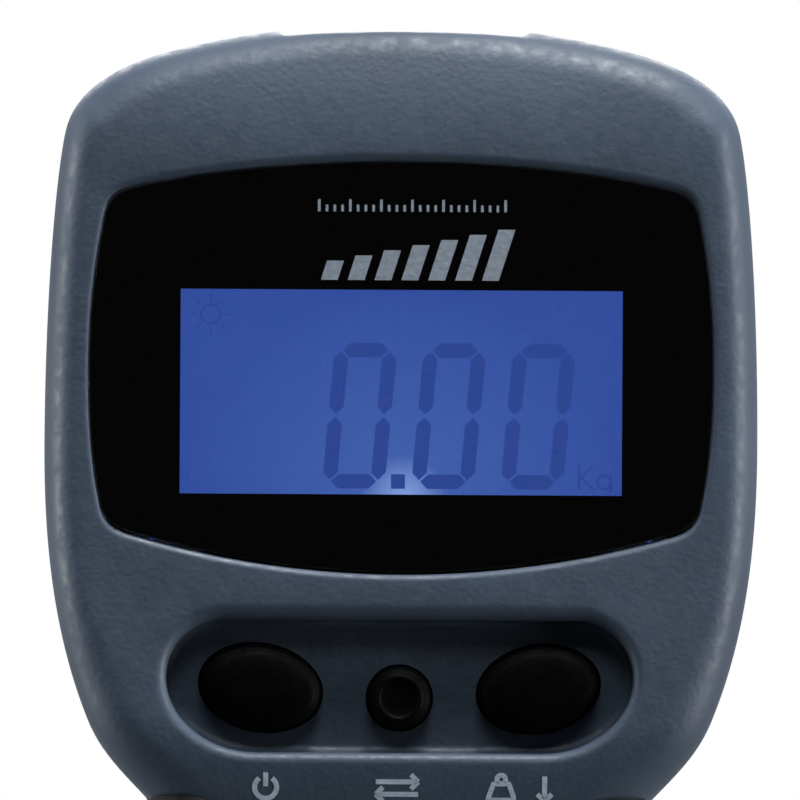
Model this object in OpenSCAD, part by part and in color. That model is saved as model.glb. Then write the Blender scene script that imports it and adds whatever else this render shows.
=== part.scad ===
// Hand pull dynamometer: a digital hanging scale with a wide display head, a slim rubber-sided
// grip and a swivelling load hook.
// Millimetres. +Z is up along the load line, the display faces -Y, and +X is the viewer's right.
// The origin is the middle of the hand grip, on the load line, in the plane where the shells part.

/* [Head] */
// Width of the head at its widest
head_w = 74; // [72:0.5:78]
// Depth of the head in front of the parting plane
head_front = 16.5; // [16:0.5:18]
// Depth of the head behind the parting plane
head_rear = 16.5; // [16.5:0.5:18]
// Height of the crown above the middle of the grip
crown_z = 131.9; // [131.9:0.1:133]

/* [Grip] */
// Width of the grip at its swell
grip_w = 36.8; // [36:0.2:40]
// Width of the flared foot
foot_w = 43.2; // [42:0.2:46]
// Depth of the grip in front of the parting plane
grip_front = 12.2; // [12:0.1:14]
// Depth of the grip behind the parting plane
grip_rear = 14; // [13.5:0.1:16]
// Thickness of the rubber side pads
pad_t = 1.4; // [1:0.1:1.6]

/* [Window and keys] */
// Width of the liquid crystal area that shows
view_w = 45.8; // [40:0.2:47]
// Height of the liquid crystal area that shows
view_h = 21.2; // [18:0.2:22]
// Depth of the pocket that the keys stand in
pocket_depth = 3.3; // [2.5:0.1:3.6]
// Travel of each key
key_travel = 1; // [0.5:0.1:1]

/* [Load line] */
// Radius of the load rod
rod_r = 2.5; // [2:0.1:3]
// Radius of the hook's wire
wire_r = 2.1; // [1.6:0.1:2.2]
// Radius of the hook's bend, to the middle of the wire
bend_r = 9.5; // [8:0.5:11]

/* [Power] */
// Radius of one battery
battery_r = 5.25; // [5:0.05:5.25]
// Length of one battery over its terminal
battery_len = 44.5; // [43:0.5:44.5]

/* [Hidden] */
$fn = 48;
FRONT = -1;
REAR = 1;

HOUSING_GREY = [0.30, 0.36, 0.42];
RUBBER_BLACK = [0.05, 0.05, 0.06];
STEEL = [0.75, 0.76, 0.78];

// ---- outlines: the right half of each, from the top middle to the bottom middle ----

head_x = head_w / 2;
grip_x = grip_w / 2;
foot_x = foot_w / 2;
waist_x = grip_x - 1.2;
foot_z = -51.5;
view_z = 93.6;

// Body: crown, shoulder, side, lower side, hip, neck, grip, palm, flare, foot
BODY_CURVES = [
    [[0, crown_z], [9, crown_z], [18, 130.6], [25, 128.6]],
    [[25, 128.6], [30.5, 127], [head_x - 2.8, 124.3], [head_x - 2, 120.5]],
    [[head_x - 2, 120.5], [head_x - 1, 115.7], [head_x, 103], [head_x, 88]],
    [[head_x, 88], [head_x, 79], [head_x - 0.8, 69], [head_x - 4.6, 59.6]],
    [[head_x - 4.6, 59.6], [head_x - 6, 56.1], [28.8, 54.1], [26.2, 51.3]],
    [[26.2, 51.3], [22, 46.8], [waist_x + 0.4, 42], [waist_x, 30]],
    [[waist_x, 30], [waist_x - 0.2, 22], [grip_x, 12], [grip_x, 0]],
    [[grip_x, 0], [grip_x, -12], [waist_x - 0.6, -20], [waist_x + 0.4, -30]],
    [[waist_x + 0.4, -30], [waist_x + 1.1, -37], [foot_x + 0.6, -38], [foot_x, -44]],
    [[foot_x, -44], [foot_x - 0.5, -49.5], [15, foot_z], [0, foot_z]]
];
BODY_STEPS = [3, 6, 3, 4, 3, 5, 2, 3, 4, 4];

// Window: upper edge, upper corner, side, lower side, lower corner, lower edge
WINDOW_CURVES = [
    [[0, 117.7], [10, 117.7], [20.5, 116.6], [27.6, 114.9]],
    [[27.6, 114.9], [29.8, 114.4], [30.6, 113.6], [31, 111.6]],
    [[31, 111.6], [32.1, 106], [32.5, 101], [32.5, 95.9]],
    [[32.5, 95.9], [32.5, 91], [32.2, 86.5], [31.3, 82.3]],
    [[31.3, 82.3], [30.9, 80.2], [30, 79.4], [27.6, 78.8]],
    [[27.6, 78.8], [20, 76.6], [10.5, 74.9], [0, 74.9]]
];
WINDOW_STEPS = [5, 4, 3, 3, 4, 5];

// Pocket around the keys: upper edge, upper corner, lower corner
POCKET_CURVES = [
    [[0, 70], [6, 70], [12, 70], [18.2, 70]],
    [[18.2, 70], [21.5, 70], [24.2, 67.3], [24.2, 64]],
    [[24.2, 64], [24.2, 59.7], [20, 56.2], [14.8, 56.2]]
];
POCKET_STEPS = [1, 7, 7];

function bezier(p, t) =
    pow(1 - t, 3) * p[0] + 3 * pow(1 - t, 2) * t * p[1] + 3 * (1 - t) * t * t * p[2] + pow(t, 3) * p[3];
function curve_points(curves, steps) = [
    for (i = [0:len(curves) - 1]) for (k = [0:steps[i] - 1]) bezier(curves[i], k / steps[i]),
    curves[len(curves) - 1][3]
];
// A half outline whose last point lies off the middle gets one more point on it.
function half_outline(curves, steps) =
    let (p = curve_points(curves, steps), last = p[len(p) - 1])
    last[0] == 0 ? p : concat(p, [[0, last[1]]]);
function mirrored(half) =
    let (m = len(half) - 1) concat(half, [for (i = [m - 1:-1:1]) [-half[i][0], half[i][1]]]);

function unit(v) = v / norm(v);
// Inward normal of a closed clockwise outline at point i
function inward(p, i) =
    let (n = len(p), d = unit(p[(i + 1) % n] - p[(i + n - 1) % n])) [d[1], -d[0]];
function inset_outline(p, s) = [for (i = [0:len(p) - 1]) p[i] + s * inward(p, i)];

BODY = mirrored(half_outline(BODY_CURVES, BODY_STEPS));
WINDOW = mirrored(half_outline(WINDOW_CURVES, WINDOW_STEPS));
POCKET = mirrored(half_outline(POCKET_CURVES, POCKET_STEPS));

// ---- depth, edge radius and wall along the body's height ----

function ramp(z, low, high) =
    let (t = min(1, max(0, (z - low) / (high - low)))) t * t * (3 - 2 * t);
function mix(a, b, t) = a + (b - a) * t;
function headness(z) = ramp(z, 38, 60);
function footness(z) = 1 - ramp(z, -42, -24);
function depth_at(side, z) =
    side == FRONT ? mix(grip_front, head_front, headness(z)) : mix(grip_rear, head_rear, headness(z));
function edge_at(side, z) = mix(8.5, side == FRONT ? 5 : 5.5, max(headness(z), footness(z)));
function wall_at(z) = mix(3.2, 2.2, headness(z));

// ---- helpers ----

// Carries a drawing in x and z through the body, from y0 back to y1.
module slab(y0, y1) {
    translate([0, y1, 0])
        rotate([90, 0, 0])
            linear_extrude(y1 - y0)
                children();
}

// A round bar along Y
module bar_y(x, z, r, y0, y1) {
    translate([x, y1, z])
        rotate([90, 0, 0])
            cylinder(r = r, h = y1 - y0);
}

// A round bar along X
module bar_x(y, z, r, x0, x1) {
    translate([x0, y, z])
        rotate([0, 90, 0])
            cylinder(r = r, h = x1 - x0);
}

// A block between two corners
module block(low, high) {
    translate(low)
        cube(high - low);
}

module mirrored_pair() {
    children();
    mirror([1, 0, 0])
        children();
}

module rounded_rect(w, h, r) {
    offset(r)
        square([w - 2 * r, h - 2 * r], center = true);
}

// Closed skin of rings that share one outline. Its two ends are closed by strips across the
// middle, because the outline isn't convex.
module skin_of_rings(rings, flip) {
    n = len(rings[0]);
    m = n / 2;
    last = (len(rings) - 1) * n;
    sides = [
        for (j = [0:len(rings) - 2]) for (i = [0:n - 1])
            let (k = (i + 1) % n, a = j * n, b = (j + 1) * n)
            each [[a + i, a + k, b + k], [a + i, b + k, b + i]]
    ];
    strips = [
        for (i = [0:m - 1])
            i == 0 ? [0, 1, n - 1]
            : i == m - 1 ? [i, m, n - i]
            : [i, i + 1, n - i - 1, n - i]
    ];
    reversed = [for (f = strips) [for (i = [len(f) - 1:-1:0]) f[i]]];
    ends = concat(reversed, [for (f = strips) [for (v = f) v + last]]);
    faces = concat(sides, ends);
    polyhedron(
        points = [for (ring = rings) each ring],
        faces = flip ? [for (f = faces) [for (i = [len(f) - 1:-1:0]) f[i]]] : faces
    );
}

// Half of the body, from the parting plane outward, with its surface moved inward by inset
// plus the wall when hollow is 1. start_y is where it begins, past the parting plane for a cut.
module half_body(side, inset = 0, hollow = 0, start_y = 0, turns = 4) {
    n = len(BODY);
    normals = [for (i = [0:n - 1]) inward(BODY, i)];
    gaps = [for (p = BODY) inset + hollow * wall_at(p[1])];
    function ring_point(i, s, y) = let (q = BODY[i] + s * normals[i]) [q[0], side * y, q[1]];
    rings = concat(
        [[for (i = [0:n - 1]) ring_point(i, gaps[i], start_y)]],
        [for (j = [0:turns]) [
            for (i = [0:n - 1])
                let (z = BODY[i][1], e = edge_at(side, z), r = e - gaps[i], a = 90 * j / turns)
                ring_point(i, gaps[i] + r * (1 - cos(a)), depth_at(side, z) - e + r * sin(a))
        ]]
    );
    skin_of_rings(rings, side == REAR);
}

// ---- housing ----

saddle_z = 131;
saddle_x = 13.1;
saddle_crown_r = 165;
CASE_SCREWS = [[-22, 122.3], [22, 122.3], [-29.8, 67.6], [29.8, 67.6], [0, 36], [-15.4, -43.6], [15.4, -43.6]];
BOARD_SCREWS = [[-12, 119.6], [12, 119.6], [-26.4, 74.6], [26.4, 74.6]];
screw_r = 1.25;
screw_head_r = 2.4;
screw_seat_y = 2.6;
board_y = -6.6;
board_t = 1.6;
lens_y = -16;
lens_t = 1.5;
mask_t = 0.15;
ledge_w = 1.8;
floor_y = pocket_depth - head_front;
floor_t = 1.5;
shelf_z = 10.2;
bush_r = 4.6;
pad_edge_min = 8;
pad_high = 51.4;
pad_low = -40;

// The flat that is taken off the crown, slightly crowned itself
module crown_saddle() {
    slab(-25, 25)
        difference() {
            translate([-saddle_x, saddle_z - 0.5])
                square([2 * saddle_x, 5]);
            translate([0, saddle_z - saddle_crown_r])
                circle(r = saddle_crown_r, $fn = 240);
        }
}

module bush_hole() {
    translate([0, 0, foot_z - 4])
        rotate([0, 0, 45])
            cylinder(r = bush_r + 0.05, h = 12);
}

// Where the right pad's edge runs on the grip's flat front and back
function pad_edge_x(z) =
    pad_edge_min + 13 * pow(max(0, (z - 35) / (pad_high - 35)), 2) + 7 * pow(max(0, (-20 - z) / 18), 2);

// The right pad between the body's surface, moved outward by grow, and the floor of its recess.
// It wraps round from the front face to the back face at each point of the body's outline.
module pad_skin(grow) {
    turns = 4;
    stations = [for (i = [0:len(BODY) / 2]) if (BODY[i][1] < 60 && BODY[i][1] > pad_low) i];
    function skin_point(side, i, j, s) =
        let (z = BODY[i][1], e = edge_at(side, z), r = e - s, a = 90 * j / turns,
             q = BODY[i] + (s + r * (1 - cos(a))) * inward(BODY, i))
        [q[0], side * (depth_at(side, z) - e + r * sin(a)), q[1]];
    function edge_point(side, i, s) =
        let (q = skin_point(side, i, turns, s)) [min(q[0] - 0.5, pad_edge_x(q[2])), q[1], q[2]];
    function layer(i, s) = concat(
        [edge_point(FRONT, i, s)],
        [for (j = [turns:-1:0]) skin_point(FRONT, i, j, s)],
        [for (j = [0:turns]) skin_point(REAR, i, j, s)],
        [edge_point(REAR, i, s)]
    );
    rings = [
        for (i = stations)
            let (outer = layer(i, -grow), inner = layer(i, pad_t), k = len(inner))
            concat(outer, [for (v = [k - 1:-1:0]) inner[v]])
    ];
    n = len(rings[0]);
    m = n / 2;
    last = (len(rings) - 1) * n;
    sides = [
        for (j = [0:len(rings) - 2]) for (i = [0:n - 1])
            let (k = (i + 1) % n, a = j * n, b = (j + 1) * n)
            each [[a + i, a + k, b + k], [a + i, b + k, b + i]]
    ];
    first_end = [for (i = [0:m - 2]) each [[i, n - 2 - i, i + 1], [i, n - 1 - i, n - 2 - i]]];
    last_end = [for (f = first_end) [f[2] + last, f[1] + last, f[0] + last]];
    difference() {
        polyhedron(points = [for (ring = rings) each ring], faces = concat(sides, first_end, last_end));
        block([0, -40, pad_high], [60, 40, pad_high + 40]);
    }
}

module pad_recesses() {
    mirrored_pair()
        pad_skin(1);
}

module front_shell() {
    color(HOUSING_GREY)
        difference() {
            union() {
                difference() {
                    half_body(FRONT);
                    half_body(FRONT, hollow = 1, start_y = -1, turns = 2);
                }
                slab(1 - head_front, lens_y + lens_t + mask_t + 1.25)
                    polygon(inset_outline(WINDOW, -1.6));
                slab(1.5 - head_front, floor_y + floor_t)
                    polygon(inset_outline(POCKET, -1.6));
                for (p = CASE_SCREWS)
                    bar_y(p[0], p[1], 2.9, 1.2 - depth_at(FRONT, p[1]), 0);
                for (p = BOARD_SCREWS)
                    bar_y(p[0], p[1], 2, 1.5 - head_front, board_y);
                block([-10, -grip_front + 2, 5], [10, -5.5, shelf_z]);
            }
            slab(-20, lens_y + lens_t + mask_t)
                polygon(inset_outline(WINDOW, -0.05));
            slab(-20, -10)
                polygon(inset_outline(WINDOW, ledge_w));
            slab(-20, floor_y)
                polygon(POCKET);
            slab(-15, -9)
                key_outlines(0.2);
            for (p = CASE_SCREWS)
                bar_y(p[0], p[1], screw_r + 0.05, -9.6, 1);
            for (p = BOARD_SCREWS)
                bar_y(p[0], p[1], 1, -12, 0);
            pad_recesses();
            bush_hole();
            crown_saddle();
        }
}

bay_x = 25.6;
bay_low = 75.6;
bay_high = 100.8;
bay_floor_y = 3.2;
tray_t = 1.2;
door_t = 2;
hinge_r = 1.4;
hinge_y = head_rear - hinge_r;
hinge_z = 75.2;
door_x = 26.5;
door_high = 101.9;
strap_x = 11;
strap_y = 8;
strap_z = 122.4;
eye_y = 12.3;
eye_z = 126.6;
eye_r = 1.6;
eye_half_w = 2.5;

module rear_shell() {
    color(HOUSING_GREY)
        difference() {
            union() {
                difference() {
                    half_body(REAR);
                    half_body(REAR, hollow = 1, start_y = -1, turns = 2);
                }
                block([-bay_x - tray_t, bay_floor_y - tray_t, bay_low - tray_t],
                      [bay_x + tray_t, head_rear - 1, bay_high + tray_t]);
                for (x = [-door_x - 2.6, door_x])
                    block([x, hinge_y - 2.4, hinge_z - 2.2], [x + 2.6, head_rear - 1, hinge_z + 2.2]);
                intersection() {
                    block([-strap_x - 1.6, strap_y - 1.6, strap_z - 1.6], [strap_x + 1.6, 20, 140]);
                    half_body(REAR);
                }
                for (p = CASE_SCREWS)
                    bar_y(p[0], p[1], 3.7, 0, depth_at(REAR, p[1]) - 1.2);
                block([-10, 5.5, 5], [10, grip_rear - 2, shelf_z]);
            }
            // strap recess in the crown, battery bay and door opening
            block([-strap_x, strap_y, strap_z], [strap_x, 20, 140]);
            block([-bay_x, bay_floor_y, bay_low], [bay_x, 20, bay_high]);
            block([-door_x - 0.1, head_rear - door_t - 0.1, hinge_z - hinge_r - 0.2],
                  [door_x + 0.1, 20, door_high + 0.1]);
            bar_x(hinge_y, hinge_z, hinge_r + 0.2, -door_x - 0.1, door_x + 0.1);
            bar_x(hinge_y, hinge_z, 0.95, -door_x - 2, door_x + 2);
            // slots for the two supply tabs through the tray's floor
            for (z = [battery_z(0), battery_z(1)])
                block([bay_x - 0.5, 1, z - 1.2], [bay_x, 5, z + 1.2]);
            for (p = CASE_SCREWS) {
                bar_y(p[0], p[1], screw_head_r + 0.3, screw_seat_y, 20);
                bar_y(p[0], p[1], screw_r + 0.2, -1, 10);
            }
            pad_recesses();
            bush_hole();
            crown_saddle();
        }
    // the strap eye that stands in the recess
    color(HOUSING_GREY)
        difference() {
            union() {
                block([-eye_half_w, strap_y - 0.5, eye_z - 3], [eye_half_w, eye_y, eye_z + 3]);
                bar_x(eye_y, eye_z, 3, -eye_half_w, eye_half_w);
            }
            bar_x(eye_y, eye_z, eye_r, -10, 10);
        }
}

module left_grip_pad() {
    color(RUBBER_BLACK)
        mirror([1, 0, 0])
            pad_skin(0);
}

module right_grip_pad() {
    color(RUBBER_BLACK)
        pad_skin(0);
}

// ---- window and display ----

lcd_y = -13;
lcd_t = 2.6;
guide_t = 2.8;
frame_w = 55.2;
frame_low = 77;
frame_high = 110.2;

module window_lens() {
    color([0.7, 0.75, 0.8, 0.3])
        slab(lens_y, lens_y + lens_t)
            polygon(WINDOW);
}

// Black film printed around the clear view, on the back of the lens
module window_mask() {
    color("black")
        slab(lens_y + lens_t, lens_y + lens_t + mask_t)
            difference() {
                polygon(WINDOW);
                translate([0, view_z])
                    square([view_w, view_h], center = true);
            }
}

module lcd_cell() {
    color([0.2, 0.33, 0.66])
        block([-26, lcd_y, 78.2], [26, lcd_y + lcd_t, 109]);
}

module backlight_panel() {
    color([0.85, 0.9, 1])
        block([-25, lcd_y + lcd_t, 82.6], [25, lcd_y + lcd_t + guide_t, 108.6]);
}

module backlight_led() {
    color([1, 1, 0.9])
        block([-1.8, lcd_y + lcd_t + 0.4, 81], [1.8, lcd_y + lcd_t + guide_t - 0.4, 82.6]);
}

module zebra_strip() {
    color([0.35, 0.2, 0.2])
        block([-24, lcd_y + lcd_t, 78.7], [24, board_y, 80.3]);
}

// Holds the cell and the light guide against the board, and has four feet on it
module lcd_frame() {
    color([0.92, 0.92, 0.9])
        union() {
            difference() {
                block([-frame_w / 2, lcd_y, frame_low], [frame_w / 2, lcd_y + lcd_t + guide_t, frame_high]);
                block([-26, lcd_y - 1, 78.2], [26, 0, 109]);
            }
            for (x = [-frame_w / 2, frame_w / 2 - 1.6]) for (z = [frame_low, frame_high - 4])
                block([x, lcd_y + lcd_t + guide_t, z], [x + 1.6, board_y, z + 4]);
        }
}

// ---- keys ----

power_key_at = [[-16.55, 63.3], [-12.5, 62.6]];
mode_key_at = [[16.55, 63.3], [12.5, 62.6]];
unit_key_at = [0, 61.9];
key_outer_r = 3.75;
key_inner_r = 4.37;
unit_key_r = 3.35;
key_top_y = floor_y - 2.7;
flange_y = floor_y + floor_t + 0.1;
pill_y = board_y - 0.05 - 0.05 - key_travel;

// A side key is two circles wrapped together, fuller towards the middle of the head.
module side_key_outline(at, grow) {
    hull() {
        translate(at[0])
            circle(r = key_outer_r + grow);
        translate(at[1])
            circle(r = key_inner_r + grow);
    }
}

module unit_key_outline(grow) {
    translate(unit_key_at)
        circle(r = unit_key_r + grow);
}

module key_outlines(grow) {
    side_key_outline(power_key_at, grow);
    side_key_outline(mode_key_at, grow);
    unit_key_outline(grow);
}

// A domed cap, the flange that holds it behind the pocket's floor, and its stem
module side_key(at) {
    color(RUBBER_BLACK)
        union() {
            for (step = [[0, 0.9], [0.35, 0.35], [0.9, 0]])
                slab(key_top_y + step[1], flange_y + 0.2)
                    side_key_outline(at, -step[0]);
            slab(flange_y, flange_y + 0.8)
                side_key_outline(at, 0.8);
            slab(flange_y, pill_y - 0.5)
                side_key_outline(at, -0.6);
        }
}

module unit_key() {
    color(RUBBER_BLACK)
        difference() {
            union() {
                bar_y(unit_key_at[0], unit_key_at[1], unit_key_r, key_top_y + 0.6, flange_y + 0.2);
                bar_y(unit_key_at[0], unit_key_at[1], unit_key_r - 0.5, key_top_y + 0.1, flange_y);
                bar_y(unit_key_at[0], unit_key_at[1], unit_key_r + 0.8, flange_y, flange_y + 0.8);
                bar_y(unit_key_at[0], unit_key_at[1], unit_key_r - 0.6, flange_y, pill_y - 0.5);
            }
            bar_y(unit_key_at[0], unit_key_at[1], 2.1, key_top_y - 1, key_top_y + 0.45);
        }
}

module power_key() {
    side_key(power_key_at);
}

module mode_key() {
    side_key(mode_key_at);
}

// Carbon pills on the stems, and the board's gold pads that they bridge
module side_pill(at) {
    color([0.15, 0.15, 0.15])
        slab(pill_y - 0.5, pill_y)
            side_key_outline(at, -0.9);
}

module power_pill() {
    side_pill(power_key_at);
}

module mode_pill() {
    side_pill(mode_key_at);
}

module unit_pill() {
    color([0.15, 0.15, 0.15])
        bar_y(unit_key_at[0], unit_key_at[1], unit_key_r - 0.9, pill_y - 0.5, pill_y);
}

module key_contacts() {
    color([0.85, 0.68, 0.3])
        slab(board_y - 0.05, board_y)
            key_outlines(-1.2);
}

// Silicone sheet on the board with a collar around each key's flange
module keypad_mat() {
    color([0.2, 0.2, 0.22])
        union() {
            slab(board_y - 0.8, board_y)
                difference() {
                    translate([0, 63])
                        rounded_rect(45.6, 13.4, 3);
                    key_outlines(-0.2);
                }
            slab(board_y - 3.4, board_y - 0.8)
                difference() {
                    key_outlines(1.8);
                    key_outlines(1);
                }
        }
}

// ---- circuit board ----

// The board's edge: wide behind the display, narrower behind the keys, with a tab at the top
module board_outline() {
    difference() {
        union() {
            translate([-29, 72.2])
                square([58, 44.8]);
            translate([-23.4, 55])
                square([46.8, 20]);
            translate([-16, 110])
                square([32, 12.6]);
        }
        for (p = BOARD_SCREWS)
            translate(p)
                circle(r = 1.1);
    }
}

module main_board() {
    color([0.05, 0.35, 0.2])
        slab(board_y, board_y + board_t)
            board_outline();
}

board_back = board_y + board_t;

module controller_chip() {
    color([0.08, 0.08, 0.09])
        block([-6, board_back, 84], [6, board_back + 1.6, 96]);
}

module amplifier_chip() {
    color([0.08, 0.08, 0.09])
        block([-12, board_back, 62], [-7, board_back + 1.5, 68]);
}

module board_parts() {
    color([0.75, 0.65, 0.5])
        union() {
            for (x = [-18:4:18])
                block([x - 0.8, board_back, 104], [x + 0.8, board_back + 1, 105.2]);
            for (z = [78:4:98])
                block([14, board_back, z], [15.2, board_back + 1, z + 1.8]);
            block([-2.2, board_back, 74], [2.2, board_back + 2.4, 78]);
        }
}

connector_at = [8, 57.4];

module cell_connector() {
    color([0.93, 0.9, 0.82])
        difference() {
            block([connector_at[0] - 5, board_back, connector_at[1] - 2.2],
                  [connector_at[0] + 5, board_back + 4.4, connector_at[1] + 2.2]);
            block([connector_at[0] - 4, board_back + 1, connector_at[1] - 3],
                  [connector_at[0] + 4, board_back + 3.6, connector_at[1] + 1.2]);
        }
}

// A cross-headed screw along Y whose head faces +Y
module screw_y(at, r, head_r, seat_y, head_h, tip_y) {
    difference() {
        union() {
            bar_y(at[0], at[1], r, tip_y, seat_y + 0.1);
            bar_y(at[0], at[1], head_r, seat_y, seat_y + head_h);
        }
        for (turn = [0, 90])
            translate([at[0], 0, at[1]])
                rotate([0, turn, 0])
                    block([-head_r * 0.6, seat_y + head_h / 2, -0.3], [head_r * 0.6, 20, 0.3]);
    }
}

module board_screws() {
    color(STEEL)
        for (p = BOARD_SCREWS)
            screw_y(p, 0.95, 1.9, board_back, 1.3, -11);
}

module case_screws() {
    color(STEEL)
        for (p = CASE_SCREWS)
            screw_y(p, screw_r, screw_head_r, screw_seat_y, 1.8, -9);
}

// ---- batteries and their contacts ----

plate_t = 0.5;
function battery_z(i) = bay_low + 1.2 + battery_r + i * (2 * battery_r + 1.2);
battery_y = bay_floor_y + 0.15 + battery_r;
spring_len = 2 * bay_x - 2 * plate_t - battery_len;

// A battery along X with its raised terminal towards `dir`
module battery(z, dir) {
    terminal_h = 1;
    shift = dir * (bay_x - plate_t - battery_len / 2);
    translate([shift, battery_y, z])
        rotate([0, dir * 90, 0])
            translate([0, 0, -battery_len / 2])
                union() {
                    cylinder(r = battery_r, h = battery_len - terminal_h);
                    cylinder(r = 1.9, h = battery_len);
                }
}

module upper_battery() {
    color([0.75, 0.55, 0.2])
        battery(battery_z(1), -1);
}

module lower_battery() {
    color([0.75, 0.55, 0.2])
        battery(battery_z(0), 1);
}

// One plate joins the two batteries at the left end of the bay.
module bridge_plate() {
    color(STEEL)
        block([-bay_x, bay_floor_y, bay_low + 1], [-bay_x + plate_t, 13, bay_high - 1]);
}

// Two plates at the right end, each with a tab that runs through the tray to the board
module supply_plates() {
    color(STEEL)
        for (i = [0, 1])
            union() {
                block([bay_x - plate_t, bay_floor_y, battery_z(i) - 4.6],
                      [bay_x, 13, battery_z(i) + 4.6]);
                block([bay_x - plate_t, board_back, battery_z(i) - 1],
                      [bay_x, bay_floor_y + 1, battery_z(i) + 1]);
            }
}

// Tube swept along a list of points, each ring square to the path. Its radius is one number, or
// one for each point.
module swept_tube(points, r, sides) {
    n = len(points);
    function along(i) = unit(points[min(i + 1, n - 1)] - points[max(i - 1, 0)]);
    function across(i) =
        let (d = along(i), a = abs(d[1]) < 0.9 ? [0, 1, 0] : [1, 0, 0]) unit(cross(d, a));
    rings = [
        for (i = [0:n - 1]) let (u = across(i), v = cross(along(i), u))
            for (k = [0:sides - 1])
                points[i] + (is_list(r) ? r[i] : r) * (cos(360 * k / sides) * u + sin(360 * k / sides) * v)
    ];
    walls = [
        for (i = [0:n - 2]) for (k = [0:sides - 1])
            let (a = i * sides + k, b = i * sides + (k + 1) % sides)
            each [[a, b, b + sides], [a, b + sides, a + sides]]
    ];
    first = [for (k = [sides - 1:-1:0]) k];
    last = [for (k = [0:sides - 1]) (n - 1) * sides + k];
    polyhedron(points = rings, faces = [for (f = concat(walls, [first, last])) [for (i = [len(f) - 1:-1:0]) f[i]]]);
}

// Conical spring that presses on a battery's flat end: from its plate at x0 to the battery at x1
module battery_spring(x0, x1, z) {
    turns = 3;
    per_turn = 12;
    wire = 0.35;
    x_low = x0 + sign(x1 - x0) * wire;
    x_high = x1 - sign(x1 - x0) * wire;
    coil = [
        for (k = [0:turns * per_turn])
            let (t = k / (turns * per_turn), r = mix(4, 2.4, t), a = 360 * k / per_turn)
            [mix(x_low, x_high, t), battery_y + r * cos(a), z + r * sin(a)]
    ];
    swept_tube(coil, wire, 6);
}

module battery_springs() {
    color(STEEL)
        union() {
            battery_spring(-bay_x + plate_t, -bay_x + plate_t + spring_len, battery_z(0));
            battery_spring(bay_x - plate_t, bay_x - plate_t - spring_len, battery_z(1));
        }
}

// Door that turns on two pins along its rounded lower edge
module battery_door() {
    color(HOUSING_GREY)
        union() {
            block([-door_x, head_rear - door_t, hinge_z], [door_x, head_rear, door_high]);
            bar_x(hinge_y, hinge_z, hinge_r, -door_x, door_x);
            bar_x(hinge_y, hinge_z, 0.9, -door_x - 1.8, door_x + 1.8);
        }
}

// Foam that keeps the batteries from rattling
module door_pad() {
    color([0.12, 0.12, 0.13])
        block([-14, battery_y + battery_r + 0.05, bay_low + 3],
              [14, head_rear - door_t, bay_high - 3]);
}

// ---- load line ----

cell_x = 12;
cell_y = 5;
cell_low = -30;
cell_high = 10;
cell_mid = (cell_low + cell_high) / 2;
anchor_t = 3.5;

// Steel bar that rests on the shells' shelves and carries the cell
module anchor_bracket() {
    color(STEEL)
        difference() {
            block([-10, -8.2, shelf_z], [10, 9.6, shelf_z + anchor_t]);
            translate([0, 0, shelf_z - 1])
                cylinder(r = rod_r + 0.1, h = anchor_t + 2);
        }
}

module anchor_bolt() {
    color(STEEL)
        union() {
            translate([0, 0, 1.5])
                cylinder(r = rod_r, h = shelf_z + anchor_t - 1.5);
            translate([0, 0, shelf_z + anchor_t])
                difference() {
                    cylinder(r = 4.2, h = 3.6);
                    translate([0, 0, 1.4])
                        cylinder(r = 2.3, h = 4, $fn = 6);
                }
        }
}

// S-shaped aluminium beam: two slots from opposite sides and a pair of joined holes between
module load_cell() {
    slot_t = 1.5;
    slot_z = 8.6;
    color([0.82, 0.83, 0.85])
        difference() {
            block([-cell_x, -cell_y, cell_low], [cell_x, cell_y, cell_high]);
            block([-cell_x - 1, -10, cell_mid + slot_z - slot_t], [cell_x - 4, 10, cell_mid + slot_z]);
            block([-cell_x + 4, -10, cell_mid - slot_z], [cell_x + 1, 10, cell_mid - slot_z + slot_t]);
            for (x = [-4.6, 4.6])
                bar_y(x, cell_mid, 4, -10, 10);
            block([-4.6, -10, cell_mid - 1.2], [4.6, 10, cell_mid + 1.2]);
            translate([0, 0, 1.5])
                cylinder(r = rod_r, h = 10);
            translate([0, 0, cell_low - 1])
                cylinder(r = rod_r, h = 9.5);
        }
}

// Four foil gauges on the sides of the beam's thin webs
module strain_gauges() {
    color([0.9, 0.55, 0.2])
        for (x = [-cell_x - 0.15, cell_x]) for (y = [-2.4, 2.4])
            block([x, y - 1.8, cell_mid - 3], [x + 0.15, y + 1.8, cell_mid + 3]);
}

CABLE_ROUTE = [
    [12.95, 0, -6], [12.95, 0, 0], [12.95, 0, 8], [12.9, 0, 16], [12.6, -0.3, 24], [12, -0.9, 31],
    [11, -1.6, 38], [9.9, -2.2, 44], [8.8, -2.7, 49], [8.2, -2.9, 52], [8, -2.9, 55.2]
];

// Four-core lead from the gauges to the board
module cell_cable() {
    color([0.3, 0.3, 0.32])
        swept_tube(CABLE_ROUTE, 0.8, 8);
}

yoke_top = -54;
yoke_top_t = 5;
rod_head_z = yoke_top - yoke_top_t - 0.1;
rod_head_h = 2.4;
pin_z = -69.1;
pin_r = 2;
leg_in = 3.7;
leg_out = 5.5;
eye_outer_r = pin_r + 3.4;
spacer_r = 3.6;
eye_half_t = 1.9;

// Rod from the cell to the swivel, with a riveted head below the yoke
module load_rod() {
    color(STEEL)
        union() {
            translate([0, 0, rod_head_z - 0.1])
                cylinder(r = rod_r, h = cell_low + 8.5 - rod_head_z + 0.1);
            translate([0, 0, rod_head_z - rod_head_h])
                cylinder(r = leg_in - 0.3, h = rod_head_h);
        }
}

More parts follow.
